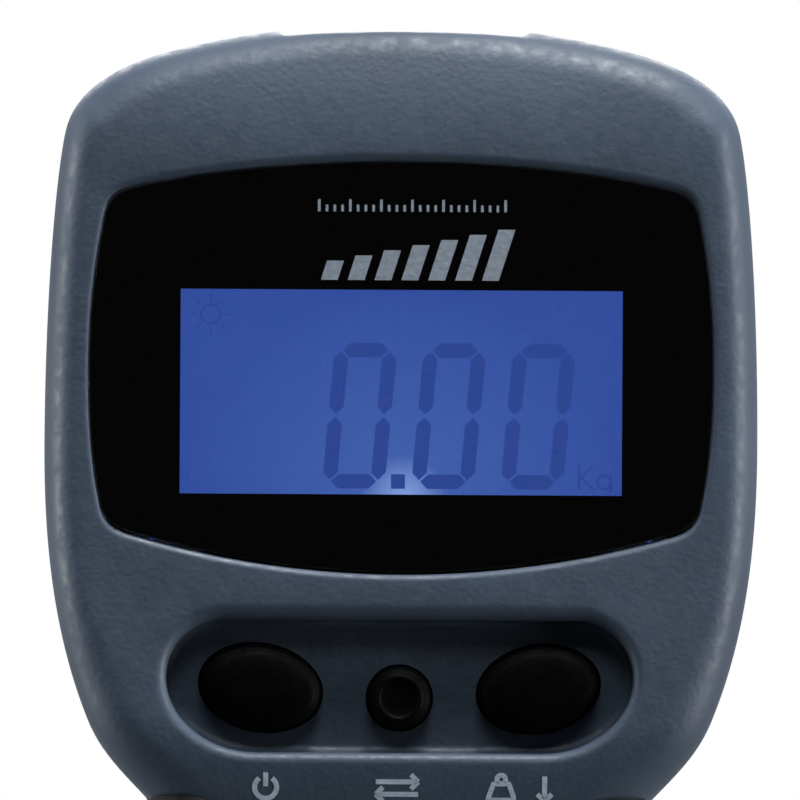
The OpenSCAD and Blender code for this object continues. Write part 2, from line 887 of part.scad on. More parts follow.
// Flanged bush that keeps water and grit out around the rod
module rod_bush() {
    color(RUBBER_BLACK)
        difference() {
            union() {
                translate([0, 0, foot_z - 1.6])
                    cylinder(r = bush_r, h = 7);
                translate([0, 0, foot_z - 1.7])
                    cylinder(r = bush_r + 1.8, h = 1.6);
                translate([0, 0, foot_z + 3.8])
                    cylinder(r = bush_r + 1.4, h = 1.6);
            }
            translate([0, 0, foot_z - 3])
                cylinder(r = rod_r + 0.3, h = 12);
        }
}

// Clevis that turns on the rod and carries the hook's pin
module swivel_yoke() {
    color(STEEL)
        difference() {
            union() {
                translate([0, 0, yoke_top - yoke_top_t])
                    cylinder(r = leg_out, h = yoke_top_t);
                for (side = [-1, 1])
                    hull() {
                        translate([0, side * (leg_in + leg_out) / 2, yoke_top - yoke_top_t + 0.5])
                            cube([8, leg_out - leg_in, 1], center = true);
                        bar_y(0, pin_z, 4, side > 0 ? leg_in : -leg_out, side > 0 ? leg_out : -leg_in);
                    }
            }
            translate([0, 0, yoke_top - 10])
                cylinder(r = rod_r + 0.05, h = 12);
            bar_y(0, pin_z, pin_r, -10, 10);
        }
}

module hook_pin() {
    color(STEEL)
        union() {
            bar_y(0, pin_z, pin_r, -leg_out - 0.2, leg_out + 0.2);
            for (y = [-leg_out - 0.9, leg_out])
                bar_y(0, pin_z, 3, y, y + 0.9);
        }
}

// Nylon washers that keep the hook's eye in the middle of the yoke
module eye_spacers() {
    color([0.9, 0.9, 0.88])
        for (y = [-leg_in, eye_half_t + 0.1])
            difference() {
                bar_y(0, pin_z, spacer_r, y, y + leg_in - eye_half_t - 0.1);
                bar_y(0, pin_z, pin_r, -10, 10);
            }
}

neck_bend_r = 7;
neck_top_z = pin_z - eye_outer_r - 0.4;
neck_angle = acos(neck_bend_r / (neck_bend_r + bend_r));
bend_z = neck_top_z - sqrt(bend_r * bend_r + 2 * bend_r * neck_bend_r);
tip_angle = 15;
// The tip's taper: how far along it lies, and its share of the wire's radius
TIP_STEPS = [[2, 0.88], [4, 0.7], [4.8, 0.5], [5.2, 0.2]];

// Points on an arc in the XZ plane about a centre
function arc_points(centre, r, from, to, steps) = [
    for (k = [0:steps]) let (a = mix(from, to, k / steps))
        [centre[0] + r * cos(a), 0, centre[1] + r * sin(a)]
];

// Open hook: a flat eye, a short neck that leans away, and a round bend under the eye's centre
module load_hook() {
    tip = [bend_r * cos(tip_angle), 0, bend_z + bend_r * sin(tip_angle)];
    tip_dir = [-sin(tip_angle), 0, cos(tip_angle)];
    route = concat(
        [[0, 0, pin_z - spacer_r - 0.3]],
        arc_points([-neck_bend_r, neck_top_z], neck_bend_r, 0, -neck_angle, 4),
        [for (k = [1:16]) arc_points([0, bend_z], bend_r, 180 - neck_angle, 360 + tip_angle, 16)[k]],
        [for (step = TIP_STEPS) tip + step[0] * tip_dir]
    );
    radii = [for (k = [0:len(route) - 1])
        let (t = k - len(route) + len(TIP_STEPS)) wire_r * (t < 0 ? 1 : TIP_STEPS[t][1])];
    color(STEEL)
        difference() {
            union() {
                bar_y(0, pin_z, eye_outer_r, -eye_half_t, eye_half_t);
                swept_tube(route, radii, 14);
            }
            bar_y(0, pin_z, pin_r + 0.05, -10, 10);
        }
}

front_shell();
rear_shell();
left_grip_pad();
right_grip_pad();
window_lens();
window_mask();
lcd_cell();
lcd_frame();
backlight_panel();
backlight_led();
zebra_strip();
main_board();
controller_chip();
amplifier_chip();
board_parts();
cell_connector();
key_contacts();
keypad_mat();
board_screws();
case_screws();
bridge_plate();
supply_plates();
battery_springs();
upper_battery();
lower_battery();
anchor_bracket();
anchor_bolt();
load_cell();
strain_gauges();
cell_cable();
load_rod();
rod_bush();
power_key();
power_pill();
unit_key();
unit_pill();
mode_key();
mode_pill();
battery_door();
door_pad();
swivel_yoke();
hook_pin();
eye_spacers();
load_hook();
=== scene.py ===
"""Looks for the hand pull dynamometer: housing skins, rubber parts, keys, display, hook and
materials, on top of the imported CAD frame. Outlines are in millimetres, meshes in metres."""
import math

import bmesh
import bpy
import numpy as np
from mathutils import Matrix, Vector
from mathutils.geometry import delaunay_2d_cdt


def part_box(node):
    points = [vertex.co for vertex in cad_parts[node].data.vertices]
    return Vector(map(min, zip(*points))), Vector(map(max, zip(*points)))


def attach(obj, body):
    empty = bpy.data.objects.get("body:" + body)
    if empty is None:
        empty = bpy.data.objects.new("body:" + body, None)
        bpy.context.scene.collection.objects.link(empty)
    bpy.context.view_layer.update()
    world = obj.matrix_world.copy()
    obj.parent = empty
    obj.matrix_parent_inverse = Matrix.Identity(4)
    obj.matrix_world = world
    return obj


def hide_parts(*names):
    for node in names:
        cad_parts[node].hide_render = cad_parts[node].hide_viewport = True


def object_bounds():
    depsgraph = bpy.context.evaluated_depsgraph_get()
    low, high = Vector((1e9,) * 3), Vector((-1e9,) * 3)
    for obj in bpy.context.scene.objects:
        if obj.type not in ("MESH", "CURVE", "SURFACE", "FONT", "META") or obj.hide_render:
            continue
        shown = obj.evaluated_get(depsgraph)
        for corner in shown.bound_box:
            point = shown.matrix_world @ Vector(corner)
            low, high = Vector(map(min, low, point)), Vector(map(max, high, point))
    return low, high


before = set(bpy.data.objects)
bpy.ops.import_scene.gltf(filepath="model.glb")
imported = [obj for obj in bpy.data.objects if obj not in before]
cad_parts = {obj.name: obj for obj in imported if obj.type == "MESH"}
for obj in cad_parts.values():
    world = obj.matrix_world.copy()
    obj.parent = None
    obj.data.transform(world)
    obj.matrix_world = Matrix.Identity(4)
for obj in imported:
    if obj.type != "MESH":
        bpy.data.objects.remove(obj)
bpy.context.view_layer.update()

MM = 0.001


def box_mm(node):
    """A CAD node's lowest and highest corners, in millimetres."""
    low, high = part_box(node)
    return np.array(low) / MM, np.array(high) / MM


# ---- sizes, from the frame

shell_low, shell_high = box_mm("front_shell")
rear_high = box_mm("rear_shell")[1]
lens_low, lens_high = box_mm("window_lens")
HEAD_X = shell_high[0]
HEAD_FRONT = -shell_low[1]
HEAD_REAR = rear_high[1]
FOOT_Z = shell_low[2]
GRIP_FRONT = 12.2
GRIP_REAR = 14.0
GRIP_X = 18.4
WAIST_X = GRIP_X - 1.2
FOOT_X = 21.6
CROWN_Z = 131.9
POCKET_FLOOR_Y = -13.2

# Body: crown, shoulder, side, lower side, hip, neck, grip, palm, flare, foot
BODY_CURVES = [
    [(0, CROWN_Z), (9, CROWN_Z), (18, 130.6), (25, 128.6)],
    [(25, 128.6), (30.5, 127), (HEAD_X - 2.8, 124.3), (HEAD_X - 2, 120.5)],
    [(HEAD_X - 2, 120.5), (HEAD_X - 1, 115.7), (HEAD_X, 103), (HEAD_X, 88)],
    [(HEAD_X, 88), (HEAD_X, 79), (HEAD_X - 0.8, 69), (HEAD_X - 4.6, 59.6)],
    [(HEAD_X - 4.6, 59.6), (HEAD_X - 6, 56.1), (28.8, 54.1), (26.2, 51.3)],
    [(26.2, 51.3), (22, 46.8), (WAIST_X + 0.4, 42), (WAIST_X, 30)],
    [(WAIST_X, 30), (WAIST_X - 0.2, 22), (GRIP_X, 12), (GRIP_X, 0)],
    [(GRIP_X, 0), (GRIP_X, -12), (WAIST_X - 0.6, -20), (WAIST_X + 0.4, -30)],
    [(WAIST_X + 0.4, -30), (WAIST_X + 1.1, -37), (FOOT_X + 0.6, -38), (FOOT_X, -44)],
    [(FOOT_X, -44), (FOOT_X - 0.5, -49.5), (15, FOOT_Z), (0, FOOT_Z)],
]
# Window: upper edge, upper corner, side, lower side, lower corner, lower edge
WINDOW_CURVES = [
    [(0, 117.7), (10, 117.7), (20.5, 116.6), (27.6, 114.9)],
    [(27.6, 114.9), (29.8, 114.4), (30.6, 113.6), (31, 111.6)],
    [(31, 111.6), (32.1, 106), (32.5, 101), (32.5, 95.9)],
    [(32.5, 95.9), (32.5, 91), (32.2, 86.5), (31.3, 82.3)],
    [(31.3, 82.3), (30.9, 80.2), (30, 79.4), (27.6, 78.8)],
    [(27.6, 78.8), (20, 76.6), (10.5, 74.9), (0, 74.9)],
]
# Pocket: upper edge, upper corner, lower corner, lower edge
POCKET_CURVES = [
    [(0, 70), (6, 70), (12, 70), (18.2, 70)],
    [(18.2, 70), (21.5, 70), (24.2, 67.3), (24.2, 64)],
    [(24.2, 64), (24.2, 59.7), (20, 56.2), (14.8, 56.2)],
    [(14.8, 56.2), (9.8, 56.2), (4.9, 56.2), (0, 56.2)],
]
SIDE_KEY = {"x": 14.4, "z": 62.9, "half_w": 6.35, "half_h": 4.45, "tilt": 10}
ROUND_KEY = {"x": 0, "z": 61.9, "half_w": 3.3, "half_h": 3.3, "tilt": 0}


# ---- outlines

def bezier(p, t):
    p = np.array(p, float)
    return ((1 - t) ** 3 * p[0] + 3 * (1 - t) ** 2 * t * p[1]
            + 3 * (1 - t) * t * t * p[2] + t ** 3 * p[3])


def closed_outline(curves, step):
    """Points about step apart, clockwise from the top middle, mirrored in x."""
    half = []
    for curve in curves:
        rough = [bezier(curve, k / 12) for k in range(13)]
        length = sum(np.linalg.norm(b - a) for a, b in zip(rough, rough[1:]))
        count = max(2, round(length / step))
        half += [bezier(curve, k / count) for k in range(count)]
    half.append(np.array(curves[-1][3], float))
    mirrored = [p * (-1, 1) for p in half[-2:0:-1]]
    return np.array(half + mirrored)


def ellipse(key, grow, count=64):
    """A key's outline, clockwise from its top; negative x mirrors its tilt."""
    tilt = math.radians(key["tilt"]) * (1 if key["x"] >= 0 else -1)
    turn = np.linspace(0, 2 * math.pi, count, endpoint=False)
    x = (key["half_w"] + grow) * np.sin(turn)
    z = (key["half_h"] + grow) * np.cos(turn)
    return np.stack([key["x"] + x * math.cos(tilt) - z * math.sin(tilt),
                     key["z"] + x * math.sin(tilt) + z * math.cos(tilt)], axis=1)


def inward(outline):
    """Unit normals of a clockwise outline, pointing in."""
    along = np.roll(outline, -1, axis=0) - np.roll(outline, 1, axis=0)
    along /= np.linalg.norm(along, axis=1)[:, None]
    return np.stack([along[:, 1], -along[:, 0]], axis=1)


def inset(outline, distance):
    return outline + distance * inward(outline)


def inside(points, loop):
    """Which points lie inside a closed loop, by crossings."""
    x, z = points[:, 0], points[:, 1]
    hit = np.zeros(len(points), bool)
    for (x1, z1), (x2, z2) in zip(loop, np.roll(loop, -1, axis=0)):
        if z1 != z2:
            crosses = ((z1 > z) != (z2 > z)) & (x < (x2 - x1) * (z - z1) / (z2 - z1) + x1)
            hit ^= crosses
    return hit


def smooth(value, low, high):
    t = np.clip((value - low) / (high - low), 0, 1)
    return t * t * (3 - 2 * t)


SADDLE_X = 13.1
SADDLE_RAMP = 0.9
SADDLE_R = 165.0


def saddled(outline):
    """An outline with the shallow flat taken off the body's crown."""
    x, z = outline[:, 0], outline[:, 1]
    flat = rear_high[2] - x * x / (2 * SADDLE_R)
    lift = smooth(np.abs(x), SADDLE_X - SADDLE_RAMP, SADDLE_X)
    cut = np.where(np.abs(x) < SADDLE_X, np.minimum(z, flat + lift * np.maximum(z - flat, 0)), z)
    return np.stack([x, cut], axis=1)


BODY = closed_outline(BODY_CURVES, 0.9)
WINDOW = closed_outline(WINDOW_CURVES, 0.6)
POCKET = closed_outline(POCKET_CURVES, 0.6)

CROWN_DROP = 3.0
CROWN_DROP_FROM = 117.0
FACE_BOW = 0.5


def face_depth(side, x, z):
    """How far the flat front (-1) or back (1) stands from the parting plane."""
    grip, head = (GRIP_FRONT, HEAD_FRONT) if side < 0 else (GRIP_REAR, HEAD_REAR)
    depth = grip + (head - grip) * smooth(z, 38, 60)
    crown = CROWN_DROP * np.clip((z - CROWN_DROP_FROM) / (131 - CROWN_DROP_FROM), 0, 2) ** 2
    bow = FACE_BOW * (x / HEAD_X) ** 2 * smooth(z, 60, 80)
    return depth - crown - bow


def edge_round(side, z):
    """Radius of the body's rounded edge."""
    wide = np.maximum(smooth(z, 38, 60), 1 - smooth(z, -42, -24))
    return 8.5 + ((5 if side < 0 else 5.5) - 8.5) * wide


# ---- mesh helpers

def grid_between(loops, step):
    """Grid points inside the first loop and outside the others, clear of all of them."""
    low, high = loops[0].min(axis=0), loops[0].max(axis=0)
    grid = np.stack(np.meshgrid(np.arange(low[0], high[0], step),
                                np.arange(low[1], high[1], step)), axis=-1).reshape(-1, 2)
    keep = inside(grid, inset(loops[0], step * 0.6))
    for loop in loops[1:]:
        keep &= ~inside(grid, inset(loop, -step * 0.6))
    return grid[keep]


class Builder:
    """Collects vertices and faces, in millimetres, and makes an object of them."""

    def __init__(self):
        self.points = []
        self.faces = []

    def ring(self, outline, y):
        """Adds a ring of (x, z) points at depth y, one number or one for each point."""
        start = len(self.points)
        y = np.broadcast_to(y, len(outline))
        self.points += [(p[0], v, p[1]) for p, v in zip(outline, y)]
        return list(range(start, len(self.points)))

    def add(self, points):
        start = len(self.points)
        self.points += [tuple(p) for p in points]
        return list(range(start, len(self.points)))

    def band(self, a, b, closed=True):
        count = len(a)
        for i in range(count if closed else count - 1):
            k = (i + 1) % count
            self.faces.append((a[i], a[k], b[k], b[i]))

    def bands(self, rings, closed=True):
        for a, b in zip(rings, rings[1:]):
            self.band(a, b, closed)

    def close(self, *rings):
        """Caps each ring with one face."""
        for ring in rings:
            self.faces.append(tuple(ring))

    def patch(self, loops, rings, depth, step):
        """Fills between the first loop and the others with triangles. rings hold the loops'
        vertex numbers, and depth gives y for the points that are added inside."""
        grid = grid_between(loops, step)
        extra = self.ring(grid, depth(grid[:, 0], grid[:, 1])) if len(grid) else []
        numbers = [n for ring in rings for n in ring] + extra
        flat = np.concatenate(loops + [grid])
        edges, start = [], 0
        for loop in loops:
            count = len(loop)
            edges += [(start + i, start + (i + 1) % count) for i in range(count)]
            start += count
        made = delaunay_2d_cdt([Vector(p) for p in flat], edges, [], 0, 1e-6)
        spots, triangles, origin = np.array([tuple(v) for v in made[0]]), made[2], made[3]
        middles = np.array([spots[list(t)].mean(axis=0) for t in triangles])
        keep = inside(middles, loops[0])
        for loop in loops[1:]:
            keep &= ~inside(middles, loop)
        for triangle, good in zip(triangles, keep):
            if good:
                self.faces.append(tuple(numbers[origin[v][0]] for v in triangle))

    def make(self, name, material, sharp=35):
        mesh = bpy.data.meshes.new(name)
        points = [(x * MM, y * MM, z * MM) for x, y, z in self.points]
        mesh.from_pydata(points, [], self.faces)
        mesh.update()
        obj = bpy.data.objects.new(name, mesh)
        bpy.context.scene.collection.objects.link(obj)
        mesh.materials.append(material)
        recalculate(obj)
        shade(obj, sharp)
        return obj


def recalculate(obj):
    """Faces all turned outward."""
    work = bmesh.new()
    work.from_mesh(obj.data)
    bmesh.ops.recalc_face_normals(work, faces=work.faces)
    work.to_mesh(obj.data)
    work.free()


def shade(obj, sharp):
    """Smooth shading with edges steeper than sharp degrees kept crisp."""
    obj.data.shade_smooth()
    obj.data.set_sharp_from_angle(angle=math.radians(sharp))


def swept(builder, route, radii, sides):
    """A tube along a route of 3-D points, in millimetres, closed at both ends."""
    route = np.array(route, float)
    along = np.gradient(route, axis=0)
    along /= np.linalg.norm(along, axis=1)[:, None]
    turn = np.linspace(0, 2 * math.pi, sides, endpoint=False)
    rings = []
    for spot, direction, radius in zip(route, along, np.broadcast_to(radii, len(route))):
        helper = (0, 1, 0) if abs(direction[1]) < 0.9 else (1, 0, 0)
        u = np.cross(direction, helper)
        u /= np.linalg.norm(u)
        v = np.cross(direction, u)
        rings.append(builder.add([spot + radius * (math.cos(t) * u + math.sin(t) * v) for t in turn]))
    builder.bands(rings)
    builder.close(rings[0], rings[-1])


# ---- materials

def typed(sockets, kind, name=None):
    """The first socket of a kind, and of a name if one is given."""
    return [s for s in sockets if s.type == kind and name in (None, s.name)][0]


class Material:
    """A Principled material with a few procedural layers."""

    def __init__(self, name, colour, roughness, metallic=0.0, **sockets):
        self.material = bpy.data.materials.new(name)
        self.material.use_nodes = True
        self.nodes = self.material.node_tree.nodes
        self.links = self.material.node_tree.links
        self.shader = self.nodes["Principled BSDF"]
        self.shader.inputs["Base Color"].default_value = (*colour, 1)
        self.shader.inputs["Roughness"].default_value = roughness
        self.shader.inputs["Metallic"].default_value = metallic
        for socket, value in sockets.items():
            self.shader.inputs[socket.replace("_", " ")].default_value = value
        self.colour = colour
        self.coordinates = self.nodes.new("ShaderNodeTexCoord").outputs["Object"]
        self.height = None

    def noise(self, scale, detail=3, stretch=(1, 1, 1)):
        """A noise value from 0 to 1; scale is in features per metre."""
        mapping = self.nodes.new("ShaderNodeMapping")
        mapping.inputs["Scale"].default_value = stretch
        self.links.new(self.coordinates, mapping.inputs["Vector"])
        texture = self.nodes.new("ShaderNodeTexNoise")
        texture.inputs["Scale"].default_value = scale
        texture.inputs["Detail"].default_value = detail
        self.links.new(mapping.outputs["Vector"], texture.inputs["Vector"])
        return texture.outputs["Fac"]

    def cells(self, scale):
        """The distance to the middle of soft-edged cells."""
        texture = self.nodes.new("ShaderNodeTexVoronoi")
        texture.feature = "SMOOTH_F1"
        texture.inputs["Scale"].default_value = scale
        self.links.new(self.coordinates, texture.inputs["Vector"])
        return texture.outputs["Distance"]

    def ramp(self, value, low, high, start=0.35, end=0.65):
        """Maps a value between two colours or numbers."""
        node = self.nodes.new("ShaderNodeMapRange")
        node.inputs["From Min"].default_value = start
        node.inputs["From Max"].default_value = end
        if isinstance(low, tuple):
            node.data_type = "FLOAT_VECTOR"
            for name, numbers in (("From Min", (start,) * 3), ("From Max", (end,) * 3),
                                  ("To Min", low), ("To Max", high)):
                typed(node.inputs, "VECTOR", name).default_value = numbers
            self.links.new(value, typed(node.inputs, "VECTOR", "Vector"))
            return typed(node.outputs, "VECTOR")
        node.inputs["To Min"].default_value = low
        node.inputs["To Max"].default_value = high
        self.links.new(value, node.inputs["Value"])
        return node.outputs["Result"]

    def vary_colour(self, value, darker, lighter):
        low = tuple(c * darker for c in self.colour)
        high = tuple(c * lighter for c in self.colour)
        self.links.new(self.ramp(value, low, high), self.shader.inputs["Base Color"])

    def vary_roughness(self, value, low, high):
        self.links.new(self.ramp(value, low, high), self.shader.inputs["Roughness"])

    def part(self, vector, axis):
        """One coordinate of a vector."""
        node = self.nodes.new("ShaderNodeSeparateXYZ")
        self.links.new(vector, node.inputs["Vector"])
        return node.outputs[axis]

    def size(self, value):
        """A number without its sign."""
        node = self.nodes.new("ShaderNodeMath")
        node.operation = "ABSOLUTE"
        self.links.new(value, node.inputs[0])
        return node.outputs["Value"]

    def vector_math(self, operation, inputs):
        """A vector operation. inputs gives a socket or a fixed vector for each input's index."""
        node = self.nodes.new("ShaderNodeVectorMath")
        node.operation = operation
        for index, value in inputs.items():
            if isinstance(value, tuple):
                node.inputs[index].default_value = value
            else:
                self.links.new(value, node.inputs[index])
        return node

    def glow(self, colour):
        """Gives off light of a fixed colour, or of a socket's."""
        self.shader.inputs["Emission Strength"].default_value = 1.0
        if isinstance(colour, tuple):
            self.shader.inputs["Emission Color"].default_value = (*colour, 1)
        else:
            self.links.new(colour, self.shader.inputs["Emission Color"])

    def facing_out(self):
        """1 where the surface faces straight forward or back, and less on rolled edges."""
        normal = self.nodes.new("ShaderNodeNewGeometry").outputs["Normal"]
        return self.ramp(self.size(self.part(normal, "Y")), 0.15, 1.0, 0.6, 0.93)

    def bump(self, value, height_mm, strength=1.0, where=None):
        """Adds a bump layer whose whole range is height_mm tall."""
        node = self.nodes.new("ShaderNodeBump")
        node.inputs["Distance"].default_value = height_mm * MM
        node.inputs["Strength"].default_value = strength
        if where:
            self.links.new(where, node.inputs["Strength"])
        self.links.new(value, node.inputs["Height"])
        if self.height:
            self.links.new(self.height, node.inputs["Normal"])
        self.height = node.outputs["Normal"]
        self.links.new(self.height, self.shader.inputs["Normal"])


def housing_finish(name):
    """Blue-grey moulded plastic with a fine leather grain."""
    m = Material(name, (0.072, 0.099, 0.142), 0.48, IOR=1.5)
    m.vary_colour(m.noise(90, 4), 0.93, 1.08)
    m.vary_roughness(m.noise(700, 2), 0.42, 0.58)
    m.bump(m.noise(1900, 2, (0.8, 1, 1.05)), 0.034, where=m.facing_out())
    m.bump(m.cells(1700), 0.025, where=m.facing_out())
    return m


# Painted shade: how dark the key pocket's floor is painted, standing in for the shade of the pocket's
# walls.
RECESS_SHADE = 0.52
SCALE_INPUT = 3


def shaded_recess_plastic():
    """The housing's plastic with painted shade: darker towards the floor of the key pocket, standing in for
    the shade that the pocket's walls cast.
    """
    m = housing_finish("shaded_recess_plastic")
    # Painted shade: the base colour is scaled down with depth into the pocket.
    painted_shade = m.ramp(m.part(m.coordinates, "Y"), 1.0, RECESS_SHADE, -14.7 * MM, -13.4 * MM)
    base = m.shader.inputs["Base Color"]
    darker = m.vector_math("SCALE", {0: base.links[0].from_socket, SCALE_INPUT: painted_shade})
    m.links.new(darker.outputs["Vector"], base)
    return m.material


def grip_rubber():
    m = Material("grip_rubber", (0.012, 0.012, 0.013), 0.62, Specular_IOR_Level=0.35)
    m.vary_colour(m.noise(120, 4), 0.8, 1.5)
    m.vary_roughness(m.noise(500, 3), 0.55, 0.75)
    m.bump(m.noise(2200, 2), 0.05)
    return m.material


def key_rubber():
    m = Material("key_rubber", (0.0005, 0.0005, 0.0008), 0.5, Specular_IOR_Level=0.05)
    m.vary_colour(m.noise(300, 3), 0.8, 1.4)
    m.vary_roughness(m.noise(900, 2), 0.5, 0.65)
    m.bump(m.noise(3500, 2), 0.03)
    return m.material


def clear_lens():
    m = Material("clear_lens", (1, 1, 1), 0.03, IOR=1.49)
    m.shader.inputs["Transmission Weight"].default_value = 1.0
    m.bump(m.noise(40, 2), 0.01, 0.3)
    return m.material


def printed_black():
    m = Material("printed_black", (0.0022, 0.0018, 0.002), 0.35, Specular_IOR_Level=0.3)
    m.vary_roughness(m.noise(500, 3), 0.3, 0.45)
    m.bump(m.noise(3000, 2), 0.004)
    return m.material


def printed_light(name, colour):
    m = Material(name, colour, 0.55)
    m.vary_colour(m.noise(1500, 4), 0.88, 1.06)
    m.bump(m.noise(1500, 2, (0.8, 1, 1.1)), 0.06)
    return m.material


LAMP_PLACE = (0.0003, -13 * MM, 82.6 * MM)


def glowing_display():
    """Back-lit blue display: a little brighter towards the lamp at its lower edge."""
    m = Material("glowing_display", (0.01, 0.02, 0.06), 0.25)
    away = m.vector_math("DISTANCE", {0: m.coordinates, 1: LAMP_PLACE}).outputs["Value"]
    panel = m.ramp(away, (0.052, 0.118, 0.42), (0.029, 0.073, 0.345), 0.001, 0.022)
    lamp = m.ramp(away, (0.16, 0.22, 0.3), (0.0, 0.0, 0.0), 0.0006, 0.0045)
    m.glow(m.vector_math("ADD", {0: panel, 1: lamp}).outputs["Vector"])
    m.vary_roughness(m.noise(300, 2), 0.2, 0.3)
    return m.material


def display_ink(name, glow):
    """Darker strokes of the display, which let only part of the light through."""
    m = Material(name, (0.005, 0.01, 0.04), 0.3)
    m.glow(glow)
    m.vary_roughness(m.noise(500, 2), 0.25, 0.4)
    return m.material


DRAWN = (1, 1, 0.05)


def steel(name, colour, roughness):
    """Brushed or drawn metal, with fine scratches along one direction."""
    m = Material(name, colour, roughness, metallic=1.0)
    m.vary_colour(m.noise(200, 3), 0.9, 1.08)
    m.vary_roughness(m.noise(3000, 3, DRAWN), roughness * 0.75, roughness * 1.35)
    m.bump(m.noise(5000, 2, DRAWN), 0.012)
    return m.material


def plain(name, colour, roughness=0.5, grain=1500, height=0.03):
    """Moulded plastic, laminate or wrapper with a slight mottle."""
    m = Material(name, colour, roughness)
    m.vary_colour(m.noise(250, 4), 0.9, 1.1)
    m.vary_roughness(m.noise(700, 3), roughness * 0.85, min(1, roughness * 1.15))
    m.bump(m.noise(grain, 2), height)
    return m.material


SLEEVE = (0.03, 0.16, 0.09)


def battery_wrapper(name):
    """Printed sleeve with a pale band, and bare metal at both ends."""
    m = Material(name, SLEEVE, 0.35)
    away = m.size(m.part(m.coordinates, "X"))
    colour = m.ramp(away, (0.62, 0.64, 0.6), SLEEVE, 0.0058, 0.0062)
    metal = m.ramp(away, 0.0, 1.0, 0.0206, 0.0208)
    mix = m.nodes.new("ShaderNodeMix")
    mix.data_type = "RGBA"
    m.links.new(metal, mix.inputs["Factor"])
    m.links.new(colour, typed(mix.inputs, "RGBA", "A"))
    typed(mix.inputs, "RGBA", "B").default_value = (0.5, 0.5, 0.48, 1)
    m.links.new(typed(mix.outputs, "RGBA"), m.shader.inputs["Base Color"])
    m.links.new(metal, m.shader.inputs["Metallic"])
    m.vary_roughness(m.noise(900, 3), 0.28, 0.4)
    m.bump(m.noise(3000, 2), 0.01)
    return m.material


HOUSING = housing_finish("housing_plastic").material
SHADED_RECESS = shaded_recess_plastic()
GRIP_RUBBER = grip_rubber()
KEY_RUBBER = key_rubber()
LENS = clear_lens()
BLACK = printed_black()
PRINT = printed_light("printed_mark", (0.33, 0.38, 0.44))
LABEL = printed_light("printed_label", (0.74, 0.84, 0.95))
DISPLAY = glowing_display()
SEGMENTS = display_ink("dark_segments", (0.022, 0.056, 0.285))
SYMBOLS = display_ink("faint_symbols", (0.022, 0.056, 0.27))
STAINLESS = steel("stainless_steel", (0.6, 0.6, 0.61), 0.24)
ZINC = steel("zinc_plate", (0.48, 0.47, 0.44), 0.36)
NICKEL = steel("nickel_plate", (0.6, 0.58, 0.54), 0.25)
ALLOY = steel("anodised_alloy", (0.6, 0.61, 0.63), 0.4)
GOLD = steel("gold_flash", (0.8, 0.55, 0.22), 0.3)

CAD_MATERIALS = {
    "window_mask": BLACK,
    "lcd_frame": plain("white_moulding", (0.72, 0.72, 0.69)),
    "backlight_panel": plain("light_guide", (0.7, 0.8, 0.9), 0.2),
    "backlight_led": plain("lamp_body", (0.8, 0.8, 0.62), 0.3),
    "zebra_strip": plain("layered_rubber", (0.05, 0.03, 0.03), 0.7),
    "main_board": plain("solder_resist", (0.015, 0.11, 0.05), 0.3),
    "controller_chip": plain("chip_body", (0.012, 0.012, 0.013), 0.55),
    "amplifier_chip": plain("chip_body_small", (0.012, 0.012, 0.013), 0.55),
    "board_parts": plain("ceramic_parts", (0.38, 0.28, 0.16), 0.4),
    "cell_connector": plain("nylon_shell", (0.7, 0.68, 0.6), 0.45),
    "key_contacts": GOLD,
    "keypad_mat": plain("silicone_mat", (0.03, 0.03, 0.034), 0.6),
    "board_screws": ZINC,
    "case_screws": ZINC,
    "bridge_plate": NICKEL,
    "supply_plates": NICKEL,
    "battery_springs": NICKEL,
    "upper_battery": battery_wrapper("upper_sleeve"),
    "lower_battery": battery_wrapper("lower_sleeve"),
    "rod_bush": plain("bush_rubber", (0.015, 0.015, 0.016), 0.65),
    "anchor_bracket": ZINC,
    "anchor_bolt": ZINC,
    "load_cell": ALLOY,
    "strain_gauges": plain("gauge_film", (0.5, 0.22, 0.05), 0.35),
    "cell_cable": plain("cable_jacket", (0.03, 0.03, 0.033), 0.5),
    "load_rod": STAINLESS,
    "power_pill": plain("carbon_pill", (0.01, 0.01, 0.01), 0.7),
    "unit_pill": plain("carbon_pill_small", (0.01, 0.01, 0.01), 0.7),
    "mode_pill": plain("carbon_pill_mode", (0.01, 0.01, 0.01), 0.7),
    "door_pad": plain("door_foam", (0.02, 0.02, 0.022), 0.9, 900, 0.2),
    "eye_spacers": plain("spacer_nylon", (0.66, 0.66, 0.62), 0.4),
    "hook_pin": STAINLESS,
    "swivel_yoke": steel("satin_steel", (0.66, 0.66, 0.67), 0.46),
}
for node, material in CAD_MATERIALS.items():
    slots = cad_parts[node].data.materials
    slots.clear()
    slots.append(material)


def finish_piece(obj, body, slot, *nodes):
    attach(obj, body)
    if nodes:
        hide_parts(*nodes)
    return obj


# ---- housing

ROLL_STEPS = 12
SEAM = 0.22
SIDE_ROLL = 0.68


def tightness(outline):
    """Radius of an outline's bends, smoothed, and large where it is straight or hollow."""
    after = np.roll(outline, -1, axis=0) - outline
    before = outline - np.roll(outline, 1, axis=0)
    turn = (after[:, 0] * before[:, 1] - after[:, 1] * before[:, 0])
    turn /= np.linalg.norm(after, axis=1) * np.linalg.norm(before, axis=1)
    radius = np.linalg.norm(after, axis=1) / np.maximum(turn, 1e-3)
    near = [np.roll(radius, k) for k in range(-6, 7)]
    lowest = np.min(near, axis=0)
    return np.mean([np.roll(lowest, k) for k in range(-4, 5)], axis=0)


def roll_width(side, outline, normals):
    """How far in from the silhouette the rounded edge reaches: narrower beside the window."""
    beside = smooth(np.abs(normals[:, 0]), 0.6, 0.95) * smooth(outline[:, 1], 62, 74)
    wide = edge_round(side, outline[:, 1]) * (1 - (1 - SIDE_ROLL) * beside)
    return np.minimum(wide, 0.8 * tightness(outline))


